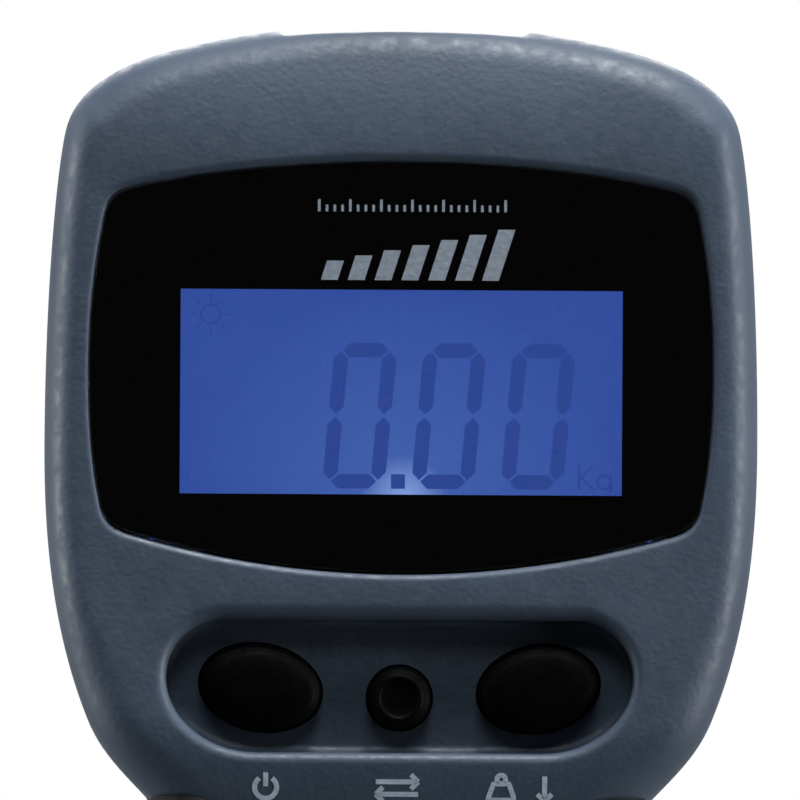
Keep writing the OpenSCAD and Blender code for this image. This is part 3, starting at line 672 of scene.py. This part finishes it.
def rolled_edge(b, side):
    """The body's side wall and rounded edge. Returns the last ring and its outline, where
    the edge runs smoothly into the front or back face."""
    normals = inward(BODY)
    wide, deep = roll_width(side, BODY, normals), edge_round(side, BODY[:, 1])
    touch = BODY + wide[:, None] * normals
    beyond = touch + normals
    slope = np.clip(face_depth(side, *beyond.T) - face_depth(side, *touch.T), 0, 1)
    end = np.arctan2(deep, wide * slope)
    last = BODY + (wide * (1 - np.cos(end)))[:, None] * normals
    top = face_depth(side, *last.T)
    rings = [b.ring(saddled(BODY + SEAM * normals), side * 0.02), b.ring(saddled(BODY), side * SEAM)]
    for k in range(ROLL_STEPS + 1):
        a = end * k / ROLL_STEPS
        outline = saddled(BODY + (wide * (1 - np.cos(a)))[:, None] * normals)
        rings.append(b.ring(outline, side * (top - deep * (np.sin(end) - np.sin(a)))))
    b.bands(rings)
    return rings[-1], last


def upward(outline):
    """How much each point of an outline faces up, from 1 to -1."""
    return -inward(outline)[:, 1]


def rim(b, outline, side, radius, deep_y, lip, floor_radius=0.0):
    """A rounded edge round an opening, its wall, and a fillet onto its floor. radius and lip, how
    far the wall stands inside the outline, are given for each point. Returns the outermost and
    the innermost ring, each with its outline."""
    rings, loops = [], []
    normals = inward(outline)
    for k in range(9):
        a = math.radians(90 * k / 8)
        loop = outline + (lip - radius * (1 - math.sin(a)))[:, None] * normals
        loops.append(loop)
        rings.append(b.ring(loop, side * (face_depth(side, *loop.T) - radius * (1 - math.cos(a)))))
    steps = 6 if floor_radius else 0
    for k in range(steps + 1):
        a = math.radians(90 * k / max(1, steps))
        loop = outline + (lip + floor_radius * (1 - math.cos(a)))[:, None] * normals
        loops.append(loop)
        rings.append(b.ring(loop, deep_y + side * floor_radius * (1 - math.sin(a))))
    b.bands(rings)
    return rings[0], loops[0], rings[-1], loops[-1]


KEY_GAP = 0.2
FACE_STEP = 1.3


def key_holes(b):
    """The edges of the holes that the keys stand in, with short walls."""
    holes, rings = [], []
    for key in (SIDE_KEY, {**SIDE_KEY, "x": -SIDE_KEY["x"]}, ROUND_KEY):
        loop = ellipse(key, KEY_GAP)
        ring = b.ring(loop, POCKET_FLOOR_Y)
        b.band(ring, b.ring(loop, POCKET_FLOOR_Y + 1.5))
        holes.append(loop)
        rings.append(ring)
    return holes, rings


def front_skin():
    """The front half of the body, with the window's and the pocket's openings."""
    b = Builder()
    edge, edge_loop = rolled_edge(b, -1)
    up = upward(WINDOW)
    lip = 0.3 - 0.5 * np.maximum(0, -up) + 0.05 * np.maximum(0, up)
    radius = 0.75 + 0.5 * np.maximum(0, up)
    deep = np.where(lip > 0.05, lens_low[1] + 0.02, lens_high[1] - 0.3)
    window, window_loop = rim(b, WINDOW, -1, radius, deep, lip)[:2]
    radius = 1.15 + 0.65 * np.maximum(0, upward(POCKET))
    pocket, pocket_loop, floor, floor_loop = rim(b, POCKET, -1, radius, POCKET_FLOOR_Y,
                                                 np.zeros(len(POCKET)), floor_radius=0.9)
    b.patch([edge_loop, window_loop, pocket_loop], [edge, window, pocket],
            lambda x, z: -face_depth(-1, x, z), FACE_STEP)
    holes, hole_rings = key_holes(b)
    b.patch([floor_loop] + holes, [floor] + hole_rings,
            lambda x, z: np.full(len(x), POCKET_FLOOR_Y), FACE_STEP)
    front = b.make("front_housing", HOUSING)
    # The faces inside the pocket get the plastic with painted shade.
    front.data.materials.append(SHADED_RECESS)
    middles = np.array([(p.center.x, p.center.z) for p in front.data.polygons]) / MM
    for polygon, within in zip(front.data.polygons, inside(middles, POCKET)):
        polygon.material_index = int(within)
    return finish_piece(front, "housing", "housing", "front_shell")


SCREWS = [(22, 122.3), (-22, 122.3), (29.8, 67.6), (-29.8, 67.6), (0, 36), (15.4, -43.6), (-15.4, -43.6)]
SCREW_HEAD_Y = 4.4
RECESS_R = 2.7
# Battery bay: half width, bottom, top, depth of its floor
BAY = (25.6, 75.6, 100.8, 3.2)
# Strap recess: half width, bottom, depth of its floor
STRAP = (11.0, 122.4, 8.0)
CORNER_POINTS = 6


def rounded_rectangle(x0, z0, x1, z1, r):
    """Clockwise from the top left corner."""
    corners = [((x0 + r, z1 - r), 180, 90), ((x1 - r, z1 - r), 90, 0),
               ((x1 - r, z0 + r), 0, -90), ((x0 + r, z0 + r), -90, -180)]
    return np.concatenate([arc(c, r, start, end, CORNER_POINTS) for c, start, end in corners])


def arc(centre, radius, start, end, count=24):
    turn = np.radians(np.linspace(start, end, count))
    return np.stack([centre[0] + radius * np.cos(turn), centre[1] + radius * np.sin(turn)], axis=1)


def prism(b, outlines, depths):
    """A closed solid through rings of (x, z) points at given depths."""
    rings = [b.ring(outline, y) for outline, y in zip(outlines, depths)]
    b.bands(rings)
    b.close(rings[0], rings[-1])


def rear_cutters():
    """What is cut from the back: the door's seat, the strap recess and the screw recesses."""
    b = Builder()
    seat = rounded_rectangle(-DOOR_X - 0.2, HINGE_Z - 1.7, DOOR_X + 0.2, DOOR_TOP + 0.2, 1.8)
    prism(b, [seat, seat], [DOOR_BACK_Y - 0.15, 20])
    half_w, low, floor = STRAP
    recess = rounded_rectangle(-half_w, low, half_w, 140, 2)
    prism(b, [inset(recess, 0.8), recess, recess], [floor, floor + 0.8, 20])
    for centre in SCREWS:
        face = float(face_depth(1, *centre))
        hole, mouth = arc(centre, RECESS_R, 180, -172.5, 48), arc(centre, RECESS_R + 0.9, 180, -172.5, 48)
        prism(b, [hole, hole, mouth], [SCREW_HEAD_Y, face - 0.5, face + 0.4])
    return b


def bay_cutter():
    """The battery bay, which is cut after the door's seat above it."""
    b = Builder()
    half_w, low, high, floor = BAY
    bay = rounded_rectangle(-half_w, low, half_w, high, 0.8)
    prism(b, [bay, bay], [floor, DOOR_BACK_Y + 0.5])
    return b


def cut(obj, cutter):
    """Takes the cutter away from the object for good."""
    modifier = obj.modifiers.new("cut", "BOOLEAN")
    modifier.operation = "DIFFERENCE"
    modifier.solver = "EXACT"
    modifier.object = cutter
    bpy.context.view_layer.update()
    made = bpy.data.meshes.new_from_object(obj.evaluated_get(bpy.context.evaluated_depsgraph_get()))
    obj.modifiers.clear()
    obj.data = made
    bpy.data.objects.remove(cutter)


def rear_skin():
    """The back half of the body as one solid, with what is cut from the back taken out."""
    b = Builder()
    edge, edge_loop = rolled_edge(b, 1)
    b.patch([edge_loop], [edge], lambda x, z: face_depth(1, x, z), 1.5)
    seam = list(range(len(BODY)))
    b.patch([saddled(inset(BODY, SEAM))], [seam], lambda x, z: np.full(len(x), 0.02), 3)
    body = b.make("rear_housing", HOUSING)
    cut(body, rear_cutters().make("rear_cutters", HOUSING))
    cut(body, bay_cutter().make("bay_cutter", HOUSING))
    shade(body, 35)
    return finish_piece(body, "housing", "housing", "rear_shell")


def turned(b, start):
    """Moves the points from start on, so that what was built facing the back faces along x."""
    b.points[start:] = [(y, x, z) for x, y, z in b.points[start:]]


def strap_eye():
    """A lug with a bore across it, standing on the floor of the strap recess."""
    b = Builder()
    eye_y, eye_z, half_w, outer_r, bore_r = 12.3, 126.6, 2.5, 3.0, 1.6
    top = arc((eye_y, eye_z), outer_r, 90, -90, 28)
    foot = np.array([(STRAP[2] - 0.4, eye_z - outer_r), (STRAP[2] - 0.4, eye_z + outer_r)])
    outline = np.concatenate([top, foot])
    bore = arc((eye_y, eye_z), bore_r, 180, -172.5, 48)
    rings = [b.ring(outline, -half_w + 0.4), b.ring(outline, half_w - 0.4)]
    b.band(*rings)
    bore_rings = [b.ring(bore, -half_w + 0.4), b.ring(bore, half_w - 0.4)]
    b.band(*bore_rings)
    for k, sign in enumerate((-1, 1)):
        side_loop, bore_loop = inset(outline, 0.4), inset(bore, -0.4)
        side, hole = b.ring(side_loop, sign * half_w), b.ring(bore_loop, sign * half_w)
        b.band(rings[k], side)
        b.band(bore_rings[k], hole)
        b.patch([side_loop, bore_loop], [side, hole], lambda x, z: np.full(len(x), sign * half_w), 1)
    turned(b, 0)
    return finish_piece(b.make("strap_eye", HOUSING), "housing", "housing")


# ---- battery door

door_high = box_mm("battery_door")[1]
DOOR_X = 26.5
DOOR_BACK_Y = HEAD_REAR - 2
DOOR_TOP = door_high[2]
HINGE_Z = 75.2
HINGE_Y = HEAD_REAR - 1.4
HINGE_R = 1.4
HINGE_PIN_R = 0.9
FINGER_W = 9.0
FINGER_LOW = 89.0
FINGER_HIGH = 99.0
FINGER_PITCH = 2.0
FINGER_DEPTH = 0.6
DOOR_EDGE = 0.35


def door_face(x, z):
    """The door's outer face: flush with the back, with finger grooves near its upper edge."""
    across = 1 - smooth(np.abs(x), FINGER_W - 1.2, FINGER_W)
    along = smooth(z, FINGER_LOW, FINGER_LOW + 0.5) * (1 - smooth(z, FINGER_HIGH - 0.5, FINGER_HIGH))
    wave = 0.5 - 0.5 * np.cos(2 * math.pi * (z - FINGER_LOW) / FINGER_PITCH)
    return face_depth(1, x, z) - 0.03 - FINGER_DEPTH * across * along * wave


def battery_door():
    """The door's plate with its hinge barrel and pins."""
    b = Builder()
    outline = rounded_rectangle(-DOOR_X, HINGE_Z, DOOR_X, DOOR_TOP, 1.6)
    fine = []
    for p, q in zip(outline, np.roll(outline, -1, axis=0)):
        count = max(1, round(np.linalg.norm(q - p) / 1.0))
        fine += [p + (q - p) * k / count for k in range(count)]
    outline = np.array(fine)
    top_loop = inset(outline, DOOR_EDGE)
    face = door_face(*top_loop.T)
    rings = [b.ring(outline, DOOR_BACK_Y), b.ring(outline, door_face(*outline.T) - DOOR_EDGE),
             b.ring(top_loop, face)]
    b.bands(rings)
    b.patch([top_loop], [rings[-1]], door_face, 0.4)
    b.close(rings[0])
    start = len(b.points)
    turn = arc((HINGE_Y, HINGE_Z), HINGE_R, 180, -165, 24)
    pin = arc((HINGE_Y, HINGE_Z), HINGE_PIN_R, 180, -165, 24)
    end = door_high[0]
    prism(b, [pin, pin, turn, turn, pin, pin], [-end, -DOOR_X, -DOOR_X, DOOR_X, DOOR_X, end])
    turned(b, start)
    return finish_piece(b.make("battery_cover", HOUSING, 40), "battery_door", "housing", "battery_door")


# ---- rubber

PAD_LOW = -40.0
PAD_HIGH = 51.6
PAD_STEP = 0.45
PAD_PROUD = 0.4
PAD_SINK = 0.1
RIB_PITCH = 3.6
RIB_DEPTH = 0.28


def pad_edge_x(z):
    """Where the pad's edge runs on the front and the back of the grip."""
    rise = np.clip((z - 33) / (PAD_HIGH - 33), 0, 1)
    fall = np.clip((-20 - z) / 20, 0, 1)
    return 8.2 + 15.5 * (1 - np.sqrt(1 - 0.97 * rise ** 2)) + 6 * fall ** 2


def body_side(z):
    """The body's half width at a height, and the sideways part of its inward normal."""
    half = BODY[:len(BODY) // 2 + 1]
    normals = inward(BODY)[:len(half)]
    keep = [i for i in np.argsort(half[:, 1]) if -49 < half[i, 1] < 60]
    heights = half[keep, 1]
    return np.interp(z, heights, half[keep, 0]), np.interp(z, heights, normals[keep, 0])


def rib_groove(z):
    """How deep the grooves between the ribs are at a height."""
    wave = 0.5 - 0.5 * math.cos(2 * math.pi * (z - PAD_HIGH) / RIB_PITCH)
    return RIB_DEPTH * wave ** 3 * smooth(PAD_HIGH - z, 5, 9) * smooth(z - PAD_LOW, 4, 8)


def pad_base(side, z):
    """The surface under the pad at a height, from the body's side to the pad's edge on the front
    (-1) or the back (1): x, depth and outward direction of each point."""
    side_x, normal_x = body_side(z)
    radius = edge_round(side, z)
    points = []
    for k in range(13):
        a = math.radians(90 * k / 12)
        x = side_x + normal_x * radius * (1 - math.cos(a))
        depth = face_depth(side, 0, z) - radius * (1 - math.sin(a))
        points.append((x, depth, (math.cos(a) * -normal_x, math.sin(a))))
    inner, depth, _ = points[-1]
    edge_x = min(inner - 0.6, pad_edge_x(z))
    return points + [(inner + (edge_x - inner) * k / 5, depth, (0, 1)) for k in range(1, 6)]


def grip_pad(sign, name, node):
    """A ribbed rubber pad over one side of the grip, sunk into the body along its edges."""
    b = Builder()
    heights = np.arange(PAD_HIGH, PAD_LOW, -PAD_STEP)
    rings = []
    for step, z in enumerate(heights):
        end_fade = min(1, step / 2, (len(heights) - 1 - step) / 2)
        groove = rib_groove(z)
        section = []
        for side in (-1, 1):
            base = pad_base(side, z)
            made = []
            for left, (x, depth, out) in zip(range(len(base) - 1, -1, -1), base):
                fade = min(1, left / 2) * end_fade
                lift = (PAD_PROUD - groove * min(1, left / 3)) * fade - PAD_SINK * (1 - fade)
                made.append((sign * (x + out[0] * lift), side * (depth + out[1] * lift), z))
            section += made[::-1] if side < 0 else made
        rings.append(b.add(section))
    b.bands(rings, closed=False)
    return finish_piece(b.make(name, GRIP_RUBBER, 50), "housing", "pads", node)


# Key profiles: how far in from the outline and how far in front of the pocket's floor, for a key
# 9 mm high
DOME = [(0.0, 1.5), (0.0, -0.9), (-0.06, -1.35), (-0.22, -1.72), (-0.5, -1.95), (-0.66, -2.0),
        (-0.74, -2.12), (-0.9, -2.24), (-1.3, -2.38), (-1.9, -2.5), (-2.6, -2.59), (-3.4, -2.64)]
RINGED = [(0.0, 1.5), (0.0, -0.9), (-0.06, -1.35), (-0.22, -1.72), (-0.5, -1.95), (-0.9, -2.08),
          (-1.2, -2.22), (-1.4, -2.4), (-1.6, -2.4), (-1.8, -2.2), (-2.1, -2.1), (-3.2, -2.1)]


PROFILE_HALF_H = 4.5


def key_cap(name, key, body, slot, node, profile):
    """A soft rubber key with one of the profiles."""
    b = Builder()
    scale = key["half_h"] / PROFILE_HALF_H
    rings = [b.ring(ellipse(key, grow * scale, 72), POCKET_FLOOR_Y + y) for grow, y in profile]
    b.bands(rings)
    b.close(rings[-1])
    return finish_piece(b.make(name, KEY_RUBBER, 40), body, slot, node)


# ---- window and display

def lens_piece():
    b = Builder()
    front, back = lens_low[1], lens_high[1]
    rings = [b.ring(inset(WINDOW, 0.06), back), b.ring(inset(WINDOW, 0.06), front + 0.3),
             b.ring(inset(WINDOW, 0.1), front + 0.04), b.ring(inset(WINDOW, 0.16), front)]
    b.bands(rings)
    b.close(rings[0], rings[-1])
    return finish_piece(b.make("display_lens", LENS, 20), "housing", "lens", "window_lens")


def plate(b, outline, y0, y1):
    """A thin flat piece with a given outline."""
    front, back = b.ring(outline, y0), b.ring(outline, y1)
    b.band(front, back)
    b.close(front, back)


def rectangle(x0, z0, x1, z1):
    return np.array([(x0, z1), (x1, z1), (x1, z0), (x0, z0)], float)


def display_glass():
    low, high = box_mm("lcd_cell")
    b = Builder()
    plate(b, rectangle(low[0], low[2], high[0], high[2]), low[1], high[1])
    return finish_piece(b.make("display_glass", DISPLAY), "housing", "lcd", "lcd_cell")


DIGIT_W = 6.5
DIGIT_H = 15.1
SEGMENT_T = 1.5
SEGMENT_GAP = 0.16
DIGIT_LEFTS = (-8.2, 1.05, 10.3)
DIGIT_BASE = 83.6
DIGIT_LEAN = 0.088
POINT_X = (-1.0, 0.45)
INK_Y = -13.04
INK_BACK_Y = INK_Y + 0.03


def segment(b, start, end):
    """One bar of a digit with pointed ends."""
    start, end = np.array(start, float), np.array(end, float)
    along = (end - start) / np.linalg.norm(end - start)
    side = np.array([along[1], -along[0]]) * SEGMENT_T / 2
    start, end = start + along * SEGMENT_GAP, end - along * SEGMENT_GAP
    point = along * SEGMENT_T / 2
    shape = [start, start + point - side, end - point - side, end, end - point + side, start + point + side]
    leaned = np.array([(x + (z - DIGIT_BASE) * DIGIT_LEAN, z) for x, z in shape])
    plate(b, leaned, INK_Y, INK_BACK_Y)


def digits():
    """Three noughts and a decimal point."""
    b = Builder()
    inner = SEGMENT_T / 2
    for left in DIGIT_LEFTS:
        x0, x1 = left + inner, left + DIGIT_W - inner
        z0, z2 = DIGIT_BASE + inner, DIGIT_BASE + DIGIT_H - inner
        z1 = (z0 + z2) / 2
        for a, c in (((x0, z0), (x1, z0)), ((x0, z2), (x1, z2)), ((x0, z0), (x0, z1)),
                     ((x0, z1), (x0, z2)), ((x1, z0), (x1, z1)), ((x1, z1), (x1, z2))):
            segment(b, a, c)
    plate(b, rectangle(POINT_X[0], DIGIT_BASE, POINT_X[1], DIGIT_BASE + SEGMENT_T), INK_Y, INK_BACK_Y)
    return finish_piece(b.make("display_digits", SEGMENTS), "housing", "lcd")


def line_outline(points, width):
    """The outline of a line of one width along (x, z) points."""
    along = np.gradient(points, axis=0)
    along /= np.linalg.norm(along, axis=1)[:, None]
    side = np.stack([along[:, 1], -along[:, 0]], axis=1) * width / 2
    return np.concatenate([points + side, (points - side)[::-1]])


def stroke(b, points, width):
    """A line drawn on the display."""
    plate(b, line_outline(np.array(points, float), width), INK_Y, INK_BACK_Y)


SUN = (-19.8, 101.6)
SUN_STROKE = 0.18
UNIT_STROKE = 0.22


def display_symbols():
    """A small sun for the lamp and the unit, both faint."""
    b = Builder()
    stroke(b, arc(SUN, 1.0, 0, 359), SUN_STROKE)
    for k in range(8):
        ray = np.array([math.cos(k * math.pi / 4), math.sin(k * math.pi / 4)])
        stroke(b, [SUN + ray * 1.45, SUN + ray * 2.1], SUN_STROKE)
    # k: a stem and two arms; g: a bowl and a tail
    stroke(b, [(18.5, 83.6), (18.5, 86.2)], UNIT_STROKE)
    stroke(b, [(19.9, 86.0), (18.65, 84.9), (20.0, 83.6)], UNIT_STROKE)
    stroke(b, arc((21.1, 84.4), 0.7, 0, 359), UNIT_STROKE)
    stroke(b, [(21.8, 85.1), (21.8, 83.3)], UNIT_STROKE)
    return finish_piece(b.make("display_symbols", SYMBOLS), "housing", "lcd")


MARK_LEFT = -8.6
MARK_RIGHT = 10.7
TICKS = 25
TICK_HALF_W = 0.14
TICK_Z = 112.3
BARS = 7
BAR_W = 1.75
BAR_PITCH = 2.78
BAR_Z = 105.2
BAR_LEAN = 0.32


def window_mark():
    """A generic mark above the display: a ruler's ticks over rising slanted bars."""
    b = Builder()
    y0, y1 = lens_low[1] - 0.02, lens_low[1] + 0.01
    for k in range(TICKS):
        x = MARK_LEFT + (MARK_RIGHT - MARK_LEFT) * k / (TICKS - 1)
        tall = 1.25 if k % 4 == 0 else 0.7
        plate(b, rectangle(x - TICK_HALF_W, TICK_Z, x + TICK_HALF_W, TICK_Z + tall), y0, y1)
    for k in range(BARS):
        x = MARK_LEFT + 0.2 + k * BAR_PITCH
        height = 2.0 + k * 0.55
        lean = height * BAR_LEAN
        top = BAR_Z + height
        shape = [(x + lean, top), (x + lean + BAR_W, top), (x + BAR_W, BAR_Z), (x, BAR_Z)]
        plate(b, np.array(shape), y0, y1)
    return finish_piece(b.make("window_mark", PRINT), "housing", "lens")


LABEL_Z = 52.6
LABEL_STROKE = 0.52
ARROW_HEAD = 0.75


def label_line(b, points):
    """A printed line that follows the housing's face."""
    points = np.array(points, float)
    fine = np.concatenate([np.linspace(p, q, 5, endpoint=False) for p, q in zip(points, points[1:])]
                          + [points[-1:]])
    loop = line_outline(fine, LABEL_STROKE)
    depth = face_depth(-1, *loop.T)
    front, back = b.ring(loop, -depth - 0.03), b.ring(loop, -depth + 0.05)
    b.band(front, back)
    last = len(front) - 1
    for i in range(len(fine) - 1):
        b.faces.append((front[i], front[i + 1], front[last - 1 - i], front[last - i]))


def label_arrow(b, start, end):
    start, end = np.array(start, float), np.array(end, float)
    along = (end - start) / np.linalg.norm(end - start) * ARROW_HEAD
    side = np.array([along[1], -along[0]])
    label_line(b, [start, end])
    label_line(b, [end - along + side, end])
    label_line(b, [end - along - side, end])


def label_icons():
    """Generic symbols under the keys: a power sign, a pair of swap arrows, and a weight beside
    a pull arrow."""
    b = Builder()
    x = -13.8
    label_line(b, arc((x, LABEL_Z), 1.15, 125, 415, 20))
    label_line(b, [(x, LABEL_Z + 0.1), (x, LABEL_Z + 1.55)])
    x = -0.2
    label_arrow(b, (x - 2.2, LABEL_Z + 0.65), (x + 2.2, LABEL_Z + 0.65))
    label_arrow(b, (x + 2.2, LABEL_Z - 0.65), (x - 2.2, LABEL_Z - 0.65))
    x = 12.8
    label_line(b, [(x - 3.6, LABEL_Z - 1.2), (x - 3.0, LABEL_Z + 0.5), (x - 1.4, LABEL_Z + 0.5),
                   (x - 0.8, LABEL_Z - 1.2), (x - 3.6, LABEL_Z - 1.2)])
    label_line(b, arc((x - 2.2, LABEL_Z + 0.95), 0.45, -60, 240, 12))
    label_arrow(b, (x + 2.3, LABEL_Z + 1.3), (x + 2.3, LABEL_Z - 1.3))
    return finish_piece(b.make("key_labels", LABEL), "housing", "housing")


# ---- hook

PIN_Z = -69.1
EYE_R = 5.4
WIRE_R = 2.0
BEND_R = 9.5
NECK_R = 7.0
# How far past the bend each ring of the tip stands, and its radius
TIP = [(1, 2.02), (2, 1.88), (3, 1.68), (3.8, 1.45), (4.4, 1.15), (4.9, 0.75), (5.15, 0.3)]
# The eye's section: radius from the pin, y
EYE_SECTION = [(2.05, -1.6), (2.3, -1.9), (4.6, -1.9), (5.15, -1.6), (5.4, -0.9), (5.45, 0),
               (5.4, 0.9), (5.15, 1.6), (4.6, 1.9), (2.3, 1.9), (2.05, 1.6)]


def hook_wire(b):
    """The hook's neck, bend and tapered tip, from inside the eye."""
    neck_top = PIN_Z - EYE_R - 0.4
    neck_angle = math.acos(NECK_R / (NECK_R + BEND_R))
    bend_z = neck_top - math.sqrt(BEND_R ** 2 + 2 * BEND_R * NECK_R)
    neck = arc((-NECK_R, neck_top), NECK_R, 0, -math.degrees(neck_angle), 14)
    curl = arc((0, bend_z), BEND_R, 180 - math.degrees(neck_angle), 375, 60)
    tip_dir = np.array([-math.sin(math.radians(15)), math.cos(math.radians(15))])
    tip = [curl[-1] + distance * tip_dir for distance, _ in TIP]
    flat = np.concatenate([[(0, PIN_Z - 3.0)], neck, curl[1:], tip])
    even = np.full(len(neck) + len(curl) - 1, WIRE_R)
    radii = np.concatenate([[1.9], even, [radius for _, radius in TIP]])
    swept(b, [(x, 0, z) for x, z in flat], radii, 28)


def hook_piece():
    """The load hook: a wire hook under a forged eye with rounded edges."""
    b = Builder()
    hook_wire(b)
    turn = np.linspace(0, 2 * math.pi, 64, endpoint=False)
    rings = [b.add([(r * math.sin(t), y, PIN_Z + r * math.cos(t)) for t in turn])
             for r, y in EYE_SECTION]
    b.bands(rings + rings[:1])
    return finish_piece(b.make("steel_hook", STAINLESS, 40), "hook", "stainless", "load_hook")


# ---- build

front_skin()
rear_skin()
strap_eye()
battery_door()
grip_pad(-1, "left_grip", "left_grip_pad")
grip_pad(1, "right_grip", "right_grip_pad")
lens_piece()
display_glass()
digits()
display_symbols()
window_mark()
label_icons()
key_cap("power_cap", {**SIDE_KEY, "x": -SIDE_KEY["x"]}, "power_key", "key_rubber", "power_key", DOME)
key_cap("mode_cap", SIDE_KEY, "mode_key", "key_rubber", "mode_key", DOME)
key_cap("unit_cap", ROUND_KEY, "unit_key", "key_rubber", "unit_key", RINGED)
hook_piece()


# ---- stage, light and camera

WHITE = (1, 1, 1)
# Name, place and the height it is aimed at, size in metres, power in watts, colour
LIGHTS = [
    ("key_softbox", (0.2, -0.24, 1.25), 0.1, (0.4, 0.22), 13, WHITE),
    ("front_fill", (0.0, -0.85, 1.3), 0.08, (0.8, 0.4), 9.2, (0.87, 0.94, 1)),
    ("left_fill", (-1.0, 0.04, 0.12), 0.08, (0.3, 0.8), 6.6, WHITE),
    ("right_fill", (0.95, -0.2, 0.08), 0.08, (0.3, 0.8), 7, WHITE),
    ("back_fill", (0.0, 1.0, 0.7), 0.05, (1.0, 0.6), 8, WHITE),
]


def soft_light(name, place, aim_z, size, power, colour):
    data = bpy.data.lights.new(name, "AREA")
    data.shape = "RECTANGLE"
    data.size, data.size_y = size
    data.energy = power
    data.color = colour
    light = bpy.data.objects.new(name, data)
    light.location = place
    light.rotation_euler = (Vector((0, 0, aim_z)) - Vector(place)).to_track_quat("-Z", "Y").to_euler()
    bpy.context.scene.collection.objects.link(light)


def fading_floor():
    """A pale floor that fades into the white surroundings."""
    m = Material("pale_floor", (0.85, 0.85, 0.85), 0.8)
    m.vary_colour(m.noise(30, 2), 0.98, 1.0)
    away = m.vector_math("LENGTH", {0: m.coordinates}).outputs["Value"]
    m.links.new(m.ramp(away, 1.0, 0.0, 0.13, 0.5), m.shader.inputs["Alpha"])
    return m.material


def background(nodes, colour, strength):
    node = nodes.new("ShaderNodeBackground")
    node.inputs["Color"].default_value = (*colour, 1)
    node.inputs["Strength"].default_value = strength
    return node.outputs["Background"]


def choose(world, factor, off, on):
    """One of two backgrounds, by a factor from 0 to 1."""
    node = world.node_tree.nodes.new("ShaderNodeMixShader")
    for socket, value in zip(node.inputs, (factor, off, on)):
        world.node_tree.links.new(value, socket)
    return node.outputs["Shader"]


def surroundings():
    """A white backdrop that gives little light, and is reflected bright except from the front,
    so that the window stays black."""
    world = bpy.data.worlds.new("pale_studio")
    bpy.context.scene.world = world
    world.use_nodes = True
    nodes, links = world.node_tree.nodes, world.node_tree.links
    direction = nodes.new("ShaderNodeTexCoord")
    parts = nodes.new("ShaderNodeSeparateXYZ")
    links.new(direction.outputs["Generated"], parts.inputs["Vector"])
    behind = nodes.new("ShaderNodeMapRange")
    behind.interpolation_type = "SMOOTHSTEP"
    behind.inputs["From Min"].default_value = -0.75
    behind.inputs["From Max"].default_value = -0.2
    links.new(parts.outputs["Y"], behind.inputs["Value"])
    path = nodes.new("ShaderNodeLightPath")
    dark = background(nodes, (0.9, 0.85, 0.9), 0.045)
    bright = background(nodes, (0.92, 0.96, 1), 0.4)
    dim = background(nodes, (0.6, 0.8, 1), 0.025)
    reflected = choose(world, behind.outputs["Result"], dark, bright)
    lit = choose(world, path.outputs["Is Glossy Ray"], dim, reflected)
    seen = choose(world, path.outputs["Is Camera Ray"], lit, background(nodes, WHITE, 1.0))
    links.new(seen, nodes["World Output"].inputs["Surface"])


FLOOR_REACH = 0.6
FLOOR_DROP = 0.002


def studio():
    floor_mesh = bpy.data.meshes.new("studio_floor")
    reach, z = FLOOR_REACH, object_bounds()[0].z - FLOOR_DROP
    floor_mesh.from_pydata([(-reach, -reach, z), (reach, -reach, z), (reach, reach, z), (-reach, reach, z)],
                           [], [(0, 1, 2, 3)])
    floor_mesh.materials.append(fading_floor())
    floor = bpy.data.objects.new("studio_floor", floor_mesh)
    bpy.context.scene.collection.objects.link(floor)
    floor.visible_diffuse = False
    floor.visible_glossy = False
    for light in LIGHTS:
        soft_light(*light)
    surroundings()
    bpy.context.scene.view_settings.view_transform = "Standard"


CAMERA_ROLL = -0.35
CAMERA_DISTANCE = 2.2
CAMERA_X = -0.00012
CAMERA_Z = 0.0928
FRAME_WIDTH = 0.08345


def camera():
    """Head-on to the display, from far enough to keep the lines parallel."""
    data = bpy.data.cameras.new("camera")
    data.sensor_width = 36
    data.lens = data.sensor_width * CAMERA_DISTANCE / FRAME_WIDTH
    obj = bpy.data.objects.new("camera", data)
    obj.location = (CAMERA_X, -CAMERA_DISTANCE, CAMERA_Z)
    obj.rotation_euler = (math.radians(90), math.radians(CAMERA_ROLL), 0)
    bpy.context.scene.collection.objects.link(obj)
    bpy.context.scene.camera = obj


studio()
camera()
